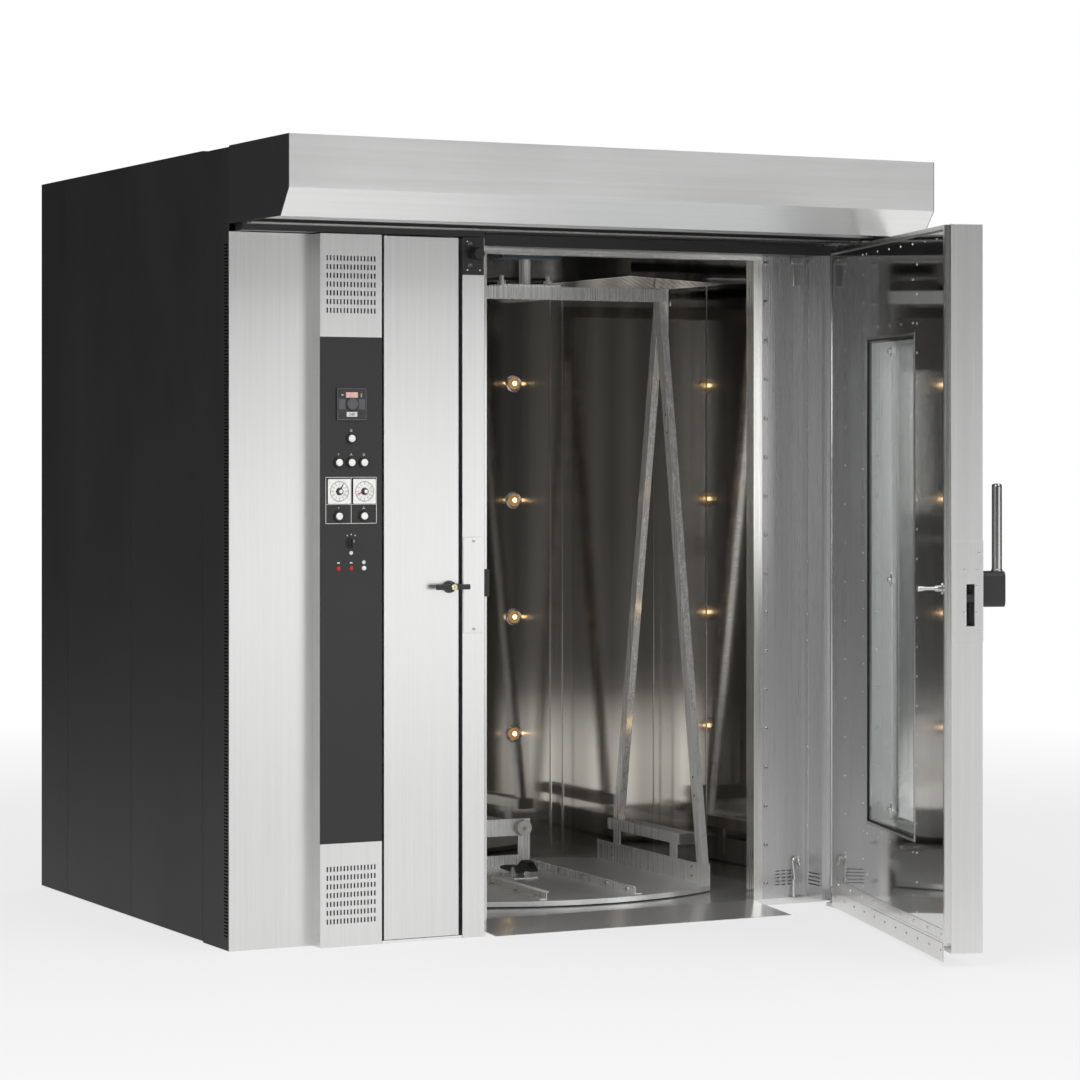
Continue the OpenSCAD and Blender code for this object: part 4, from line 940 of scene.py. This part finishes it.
def make_column_fittings():
    """Dark sheets behind the column's vents, painted shade of its inside, and rims round the buttons."""
    width = high("control_column").x - low("control_column").x - 0.016
    # Painted shade: dark sheets stand for the shade inside the column behind its vents
    dark = Piece("vent_shade_sheets", "screen_and_shade", "cabinet")
    for z in VENT_Z:
        dark.plate(front_at(FASCIA_MID, FACE + 0.0030, z), width, 0.250, 0.0006, 0.002)
    dark.done()
    rims = Piece("button_rims", "plastic", "cabinet")
    for button in BUTTONS:
        rims.ring(front_at(button.x, FRONT, button.z),
                  [(0.0112, 0.0), (0.0158, 0.0), (0.0154, 0.0022), (0.0140, 0.0030), (0.0122, 0.0030),
                   (0.0112, 0.0020)], 32)
    rims.done()


def make_hood_trim():
    """Bright drip rails under the hood and the screws along its ends."""
    a, b = low("hood"), high("hood")
    rails = Piece("hood_rails", "trim", "cabinet")
    for y in (FACE - 0.001, FACE - 0.030):
        rails.plate(Matrix.Translation((middle("hood").x, y, 2.1205)), b.x - a.x - 0.06, 0.006, 0.004)
    rails.done(0.0005)
    ends = Piece("hood_top_screws", "screw", "cabinet")
    for x in (a.x + 0.018, b.x - 0.018):
        screws(ends, [(x, y, b.z) for y in spaced(a.y + 0.05, b.y - 0.05, 0.13)], (0, 0, 1), 0.004)
    ends.done()


make_controller()
make_timers()
make_fascia_print()
make_pilot_lenses()
make_key_cylinder()
make_post_fittings()
make_column_fittings()
make_hood_trim()


# ---- Main door, placed as closed and turned with it ----

DOOR_L, DOOR_R = -0.254, 1.000
INNER = FACE + 0.108
SPINDLE = (DOOR_L + 0.059, FACE - 0.0004, 1.067)
CLIP_S = 0.685
WINDOW_L, WINDOW_R = DOOR_R - 0.938, DOOR_R - 0.430
WINDOW_LOW, WINDOW_HIGH = 0.328, 1.798
WINDOW_W, WINDOW_H = WINDOW_R - WINDOW_L, WINDOW_HIGH - WINDOW_LOW
FROM_DOOR = (0, 1, 0)


def from_hinge(s):
    """The place across the closed door at a distance from its hinge edge."""
    return DOOR_R - s


def inner_at(x, z, out=0.0):
    """A matrix on the door's inner side, whose Z looks into the closed chamber."""
    return Matrix.Translation((x, INNER + out, z)) @ Matrix.Rotation(math.radians(-90), 4, "X")


def make_door_rivets():
    """The rivet pattern of the inner sheet and the small rivets along its edges."""
    pattern = [(0.175, z) for z in spaced(0.20, 2.02, 0.121)]
    pattern += [(s, z) for s in (0.385, 0.967) for z in spaced(0.122, 2.000, 0.084)]
    pattern += [(s, z) for s in (0.430, 0.927) for z in (0.165, 0.290, 1.832, 1.958)]
    pattern += [(s, z) for z in (0.290, 1.833) for s in (0.555, 0.681, 0.803)]
    pattern += [(s, 2.062) for s in (0.090, 0.215, 0.380, 0.421, 0.547, 0.672, 0.797, 0.922, 1.047, 1.165)]
    piece = Piece("door_rivets", "screw", "door", ON_DOOR)
    rivets(piece, [(from_hinge(s), INNER, z) for s, z in pattern], FROM_DOOR, 0.0036)
    piece.done()
    edge = Piece("door_edge_rivets", "screw", "door", ON_DOOR)
    for x in (DOOR_R - 0.008, DOOR_L + 0.008):
        rivets(edge, [(x, INNER + 0.0028, z) for z in spaced(0.12, 2.05, 0.088)], FROM_DOOR, 0.0022)
    edge.done()


def border(piece, place, outset, width, depth, tall, wide):
    """Four bars along the window's edges, set outwards from them."""
    for x in (WINDOW_L - outset, WINDOW_R + outset):
        piece.plate(place(x, (WINDOW_LOW + WINDOW_HIGH) / 2), width, tall, depth)
    for z in (WINDOW_LOW - outset, WINDOW_HIGH + outset):
        piece.plate(place((WINDOW_L + WINDOW_R) / 2, z), wide, width, depth)


def make_window_frames():
    """The window's inner frame, gasket and outer frame, and the lips of the door's side seals."""
    width = 0.007
    inside = Piece("window_frame", "trim", "door", ON_DOOR)
    border(inside, inner_at, width / 2, width, 0.0014, WINDOW_H + 2 * width, WINDOW_W)
    inside.done(0.0003)
    width = 0.005
    gasket = Piece("window_gasket", "rubber", "door", ON_DOOR)
    border(gasket, lambda x, z: inner_at(x, z, -0.003), -width / 2, width, 0.0035, WINDOW_H, WINDOW_W)
    gasket.done(0.0004)
    width = 0.012
    outer = Piece("window_outer_frame", "trim", "door", ON_DOOR)
    border(outer, lambda x, z: front_at(x, FACE + 0.003, z), -width / 2, width, 0.0022,
           WINDOW_H, WINDOW_W - 2 * width)
    outer.done(0.0005)
    lips = Piece("seal_lips", "trim", "door", ON_DOOR)
    for x in (DOOR_L + 0.0150, DOOR_R - 0.0150):
        lips.lathe(Matrix.Translation((x, INNER + 0.0005, 0.075)),
                   [(0.0020, 0.0), (0.0030, 0.002), (0.0030, 2.006), (0.0020, 2.008)], 10)
    lips.done()


def make_window_clips():
    """The three round clips on the window's middle line."""
    cups = Piece("window_clips", "screw", "door", ON_DOOR)
    for z in (1.757, 1.074, 0.388):
        matrix = at((from_hinge(CLIP_S), INNER - 0.0030, z), FROM_DOOR)
        cups.lathe(matrix, [(0.0165, 0.0), (0.0165, 0.0012), (0.0120, 0.0022), (0.0085, 0.0050),
                            (0.0085, 0.0095), (0.0060, 0.0110), (0.0, 0.0112)], 28)
        for turn in range(4):
            arm = matrix @ Matrix.Rotation(math.radians(90 * turn), 4, "Z")
            cups.prism(arm, [(0.0080, -0.0035), (0.0215, -0.0025), (0.0240, 0.0), (0.0215, 0.0025),
                             (0.0080, 0.0035)], 0.0030)
    cups.done(0.0004)


def make_door_bottom():
    """The kick strip inside the door, the adjustable sweep with dark marks of painted shade at each slot, its
    screws, and the wiper.
    """
    first, last = from_hinge(1.232), from_hinge(0.040)
    centre = (first + last) / 2
    kick_z, kick_t = 0.0905, 0.0013
    sweep_z, sweep_out, sweep_t = 0.046, 0.002, 0.0012
    strip = Piece("kick_strip", "trim", "door", ON_DOOR)
    strip.plate(inner_at(centre, kick_z), last - first, 0.030, kick_t, 0.002)
    strip.done(0.0004)
    sweep = Piece("sweep_strip", "trim", "door", ON_DOOR)
    sweep.plate(inner_at(centre, sweep_z, sweep_out), last - first, 0.044, sweep_t, 0.002)
    sweep.done(0.0004)
    # Painted shade: dark marks stand for the shade inside each slot of the sweep
    slot_shades = Piece("sweep_slot_shades", "screen_and_shade", "door", ON_DOOR)
    fixings = Piece("sweep_screws", "screw", "door", ON_DOOR)
    skin = sweep_out + sweep_t
    for x in spaced(first + 0.020, last - 0.020, 0.119):
        slot_shades.plate(inner_at(x, sweep_z, skin), 0.016, 0.006, 0.00015, 0.0029)
        fixings.lathe(at((x + 0.002, INNER + skin, sweep_z), FROM_DOOR), scaled(PAN_HEAD, 0.0030), 12)
    for x in spaced(first + 0.018, last - 0.060, 0.147):
        fixings.lathe(at((x, INNER + kick_t, kick_z), FROM_DOOR, 0.4), scaled(PAN_HEAD, 0.0046), 14)
    slot_shades.done()
    fixings.done()
    wiper_end = max(high("ramp").z, 0.008) + 0.0012
    wiper = Piece("wiper_blade", "rubber", "door", ON_DOOR)
    wiper.prism(Matrix.Translation((first, INNER + 0.0003, 0)) @ Matrix.Rotation(math.radians(90), 4, "Z")
                @ Matrix.Rotation(math.radians(90), 4, "X"),
                [(0.0, 0.020), (0.0012, 0.020), (0.0016, wiper_end), (0.0003, wiper_end)], last - first)
    wiper.done(0.0002, False)


def make_lock_fittings():
    """The lock plate's screws and a dark mark of painted shade in its slot, the handle's steel bar and hub
    cover, and the rod's washer.
    """
    x, y, z = SPINDLE
    plate = Piece("lock_screws", "screw", "door", ON_DOOR)
    points = [(FACE + 0.010, 1.172), (FACE + 0.010, 0.951)]
    points += [(FACE + dy, height) for dy in (0.018, 0.054) for height in (1.124, 1.078, 1.003)]
    screws(plate, [(DOOR_L - 0.0015, *point) for point in points], (-1, 0, 0), 0.0036)
    plate.done()
    # Painted shade: a dark mark stands for the shade inside the lock plate's slot
    hollow_shade = Piece("lock_slot_shade", "screen_and_shade", "door", ON_DOOR)
    hollow_shade.plate(at((DOOR_L + 0.0445, FACE + 0.036, 1.0235), (-1, 0, 0)), 0.0225, 0.118, 0.0004)
    hollow_shade.done()
    bar = Piece("handle_bar", "rod", "door_handle", ON_DOOR)
    bar.lathe(Matrix.Translation((x, y - 0.060, z + 0.0502)),
              [(0.0165, 0.0), (0.0165, 0.004), (0.0146, 0.006), (0.0144, 0.2400), (0.0143, 0.2445),
               (0.0120, 0.2480), (0.0060, 0.2492), (0.0, 0.2495)], 40)
    bar.done()
    cover = Piece("handle_hub_cover", "plastic", "door_handle", ON_DOOR)
    cover.plate(front_at(x, FACE - 0.0738, z), 0.066, 0.090, 0.0006, 0.012)
    cover.lathe(front_at(x, FACE - 0.0741, z - 0.010),
                [(0.0085, 0.0), (0.0085, 0.0006), (0.0050, 0.0007), (0.0044, 0.0002), (0.0, 0.0002)], 24)
    cover.done(0.0002)
    rod = Piece("release_washer", "screw", "release_rod", ON_DOOR)
    rod.lathe(at((DOOR_L + 0.039, FACE + 0.173, 1.070), FROM_DOOR),
              [(0.0080, 0.0), (0.0090, 0.0015), (0.0090, 0.0040), (0.0070, 0.0065), (0.0, 0.0072)], 24)
    rod.done()


# ---- Throat and chamber ----

PLATE_Y = low("throat_trim").y
RETURN_R = 0.982
WALL_X = 1.000
WALL_Y = 0.665
WALL_MID = 1.060
OVEN_LAMP_Z = [0.460 + 0.412 * k for k in range(4)]


def make_throat_fittings():
    """Screws along the plate and the return, the seam strip, the upper keeper and the lower hook."""
    plate = Piece("throat_screws", "rod", "cabinet")
    for x in (high("throat_trim").x + 0.013, low("throat_trim").x - 0.013):
        screws(plate, [(x, PLATE_Y, z) for z in spaced(0.070, 2.060, 0.126)], (0, -1, 0), 0.0076)
    plate.done()
    seam_y = PLATE_Y - 0.010
    strip = Piece("seam_strip", "trim", "cabinet")
    strip.plate(at((RETURN_R, seam_y, WALL_MID), (-1, 0, 0)), 0.012, 2.030, 0.0012, 0.002)
    strip.done(0.0003)
    seam_screws = Piece("seam_screws", "screw", "cabinet")
    screws(seam_screws, [(RETURN_R - 0.0012, seam_y, z) for z in spaced(0.080, 2.040, 0.085)],
           (-1, 0, 0), 0.0030)
    seam_screws.done()
    keeper_x = 0.945
    keeper = Piece("upper_keeper", "trim", "cabinet")
    keeper.plate(front_at(keeper_x, PLATE_Y, 2.036), 0.026, 0.094, 0.006, 0.004)
    keeper.plate(front_at(keeper_x, PLATE_Y - 0.006, 2.072), 0.044, 0.022, 0.004, 0.003)
    keeper.done(0.001)
    hook_x, hook_y, bend = 0.928, PLATE_Y - 0.012, 0.010
    angles = [math.radians(180 - 22.5 * k) for k in range(9)]
    turn = [(hook_x + bend + bend * math.cos(a), hook_y, 0.140 + bend * math.sin(a)) for a in angles]
    hook = Piece("lower_hook", "trim", "cabinet")
    hook.tube([(hook_x, hook_y, 0.024), (hook_x, hook_y, 0.080)] + turn
              + [(hook_x + 2 * bend, hook_y, 0.124)], 0.0055, 14)
    hook.prism(Matrix.Translation((hook_x, hook_y, 0.0203)),
               [(-0.012, -0.011), (0.044, -0.006), (0.044, 0.006), (-0.012, 0.011)], 0.004)
    hook.done(0.0006)


def oven_light(height):
    """A weak warm spot in front of the right wall, aimed along the view's mirrored direction."""
    data = bpy.data.lights.new("oven_light", "SPOT")
    data.spot_size = math.radians(130)
    data.spot_blend = 1.0
    data.energy = 0.10
    data.color = (1.0, 0.62, 0.28)
    data.shadow_soft_size = 0.005
    light = add_object("oven_light", data)
    light.visible_camera = False
    before_wall = (0.985, -0.086)
    drop = 0.070
    mirrored_view = Vector((-0.457, 0.889, 0))
    light.location = (*before_wall, height - (EYE[2] - height) * drop)
    light.rotation_euler = mirrored_view.to_track_quat("-Z", "Y").to_euler()


def make_oven_lamps():
    """The four lamps' bezels, bulbs and light."""
    x = middle("oven_lamps").x
    bezels = Piece("lamp_bezels", "trim", "cabinet")
    for z in OVEN_LAMP_Z:
        bezels.ring(front_at(x, WALL_Y, z),
                    [(0.0225, 0.0), (0.0310, 0.0), (0.0300, 0.0040), (0.0260, 0.0062), (0.0225, 0.0050)], 36)
    bezels.done()
    bulbs = Piece("lamp_bulbs", "bulb", "cabinet")
    for z in OVEN_LAMP_Z:
        bulbs.lathe(front_at(x, low("oven_lamps").y, z),
                    [(0.0075, 0.0), (0.0070, 0.0018), (0.0045, 0.0032), (0.0, 0.0038)], 20)
    bulbs.done()
    for z in OVEN_LAMP_Z:
        oven_light(z)


def make_chamber_seams():
    """Bright cover strips beside the grooves of the rear and right walls."""
    strips = Piece("chamber_seams", "trim", "cabinet")
    places = [front_at(WALL_X - inset, WALL_Y, WALL_MID) for inset in (0.250, 0.201)]
    places += [at((WALL_X, y, WALL_MID), (-1, 0, 0)) for y in (-0.012, 0.359)]
    for place in places:
        strips.plate(place, 0.005, 2.060, 0.0012)
    strips.done(0.0003)


# ---- Turntable, measured from its axis ----

DECK = 0.040
SKIRT_IN = 0.46798
BEAM_END = 0.5259
LEG_IN = 0.4888
LEG_FOOT, LEG_TOP, LEG_REACH = 0.101, 1.969, 0.313
RAIL_WEB, RAIL_FOOT = 0.1549, -0.168


def make_table_fittings():
    """Screws, rail bolts, beam caps and dark marks of painted shade at each leg hole, which turn with the
    table.
    """
    fixings = Piece("table_screws", "screw", "turntable", ON_TABLE)
    for side in (-1, 1):
        points = [(side * SKIRT_IN, y, z) for y in (-0.300, 0.300) for z in (0.058, 0.088)]
        screws(fixings, points, (-side, 0, 0), 0.0055)
        for y in (-0.018, 0.018):
            fixings.lathe(at((side * BEAM_END, y, 1.955), (side, 0, 0)), scaled(HEX_HEAD, 0.009), 6)
        fixings.lathe(at((0.125 * side, 0.2721, 0.174), (0, -1, 0)), scaled(PAN_HEAD, 0.0075), 16)
        for x in (-0.036, 0.036):
            fixings.lathe(Matrix.Translation((x, 0.060 + side * 0.060, DECK + 0.004)),
                          scaled(PAN_HEAD, 0.005), 14)
    fixings.done()
    bolts = Piece("rail_bolts", "trim", "turntable", ON_TABLE)
    for y in (-0.452, -0.300, -0.110, 0.070, 0.240):
        bolts.lathe(at((RAIL_WEB, y, DECK + 0.011), (-1, 0, 0)), scaled(HEX_HEAD, 0.0075), 6)
        bolts.lathe(Matrix.Translation((RAIL_FOOT, y, DECK + 0.003)), scaled(HEX_HEAD, 0.0085), 6)
    bolts.done()
    caps = Piece("beam_caps", "front", "turntable", ON_TABLE)
    for side in (-1, 1):
        for y, way in ((-0.198, -1), (0.345, 1)):
            place = at((side * 0.502, y + way * 0.0001, 0.1685), (0, way, 0))
            caps.plate(place, 0.0595, 0.0365, 0.0012, 0.002)
    caps.done(0.0003)
    # Painted shade: dark marks stand for the shade inside each leg hole
    hole_shades = Piece("leg_hole_shades", "screen_and_shade", "turntable", ON_TABLE)
    for side in (-1, 1):
        for height in (0.32, 0.38, 1.52, 1.58):
            part = (height - LEG_FOOT) / (LEG_TOP - LEG_FOOT)
            place = (side * LEG_IN, LEG_REACH * (part - 1), height)
            hole_shades.plate(at(place, (-side, 0, 0)), 0.008, 0.008, 0.0002, 0.0039)
    hole_shades.done()


make_door_rivets()
make_window_frames()
make_window_clips()
make_door_bottom()
make_lock_fittings()
make_throat_fittings()
make_oven_lamps()
make_chamber_seams()
make_table_fittings()
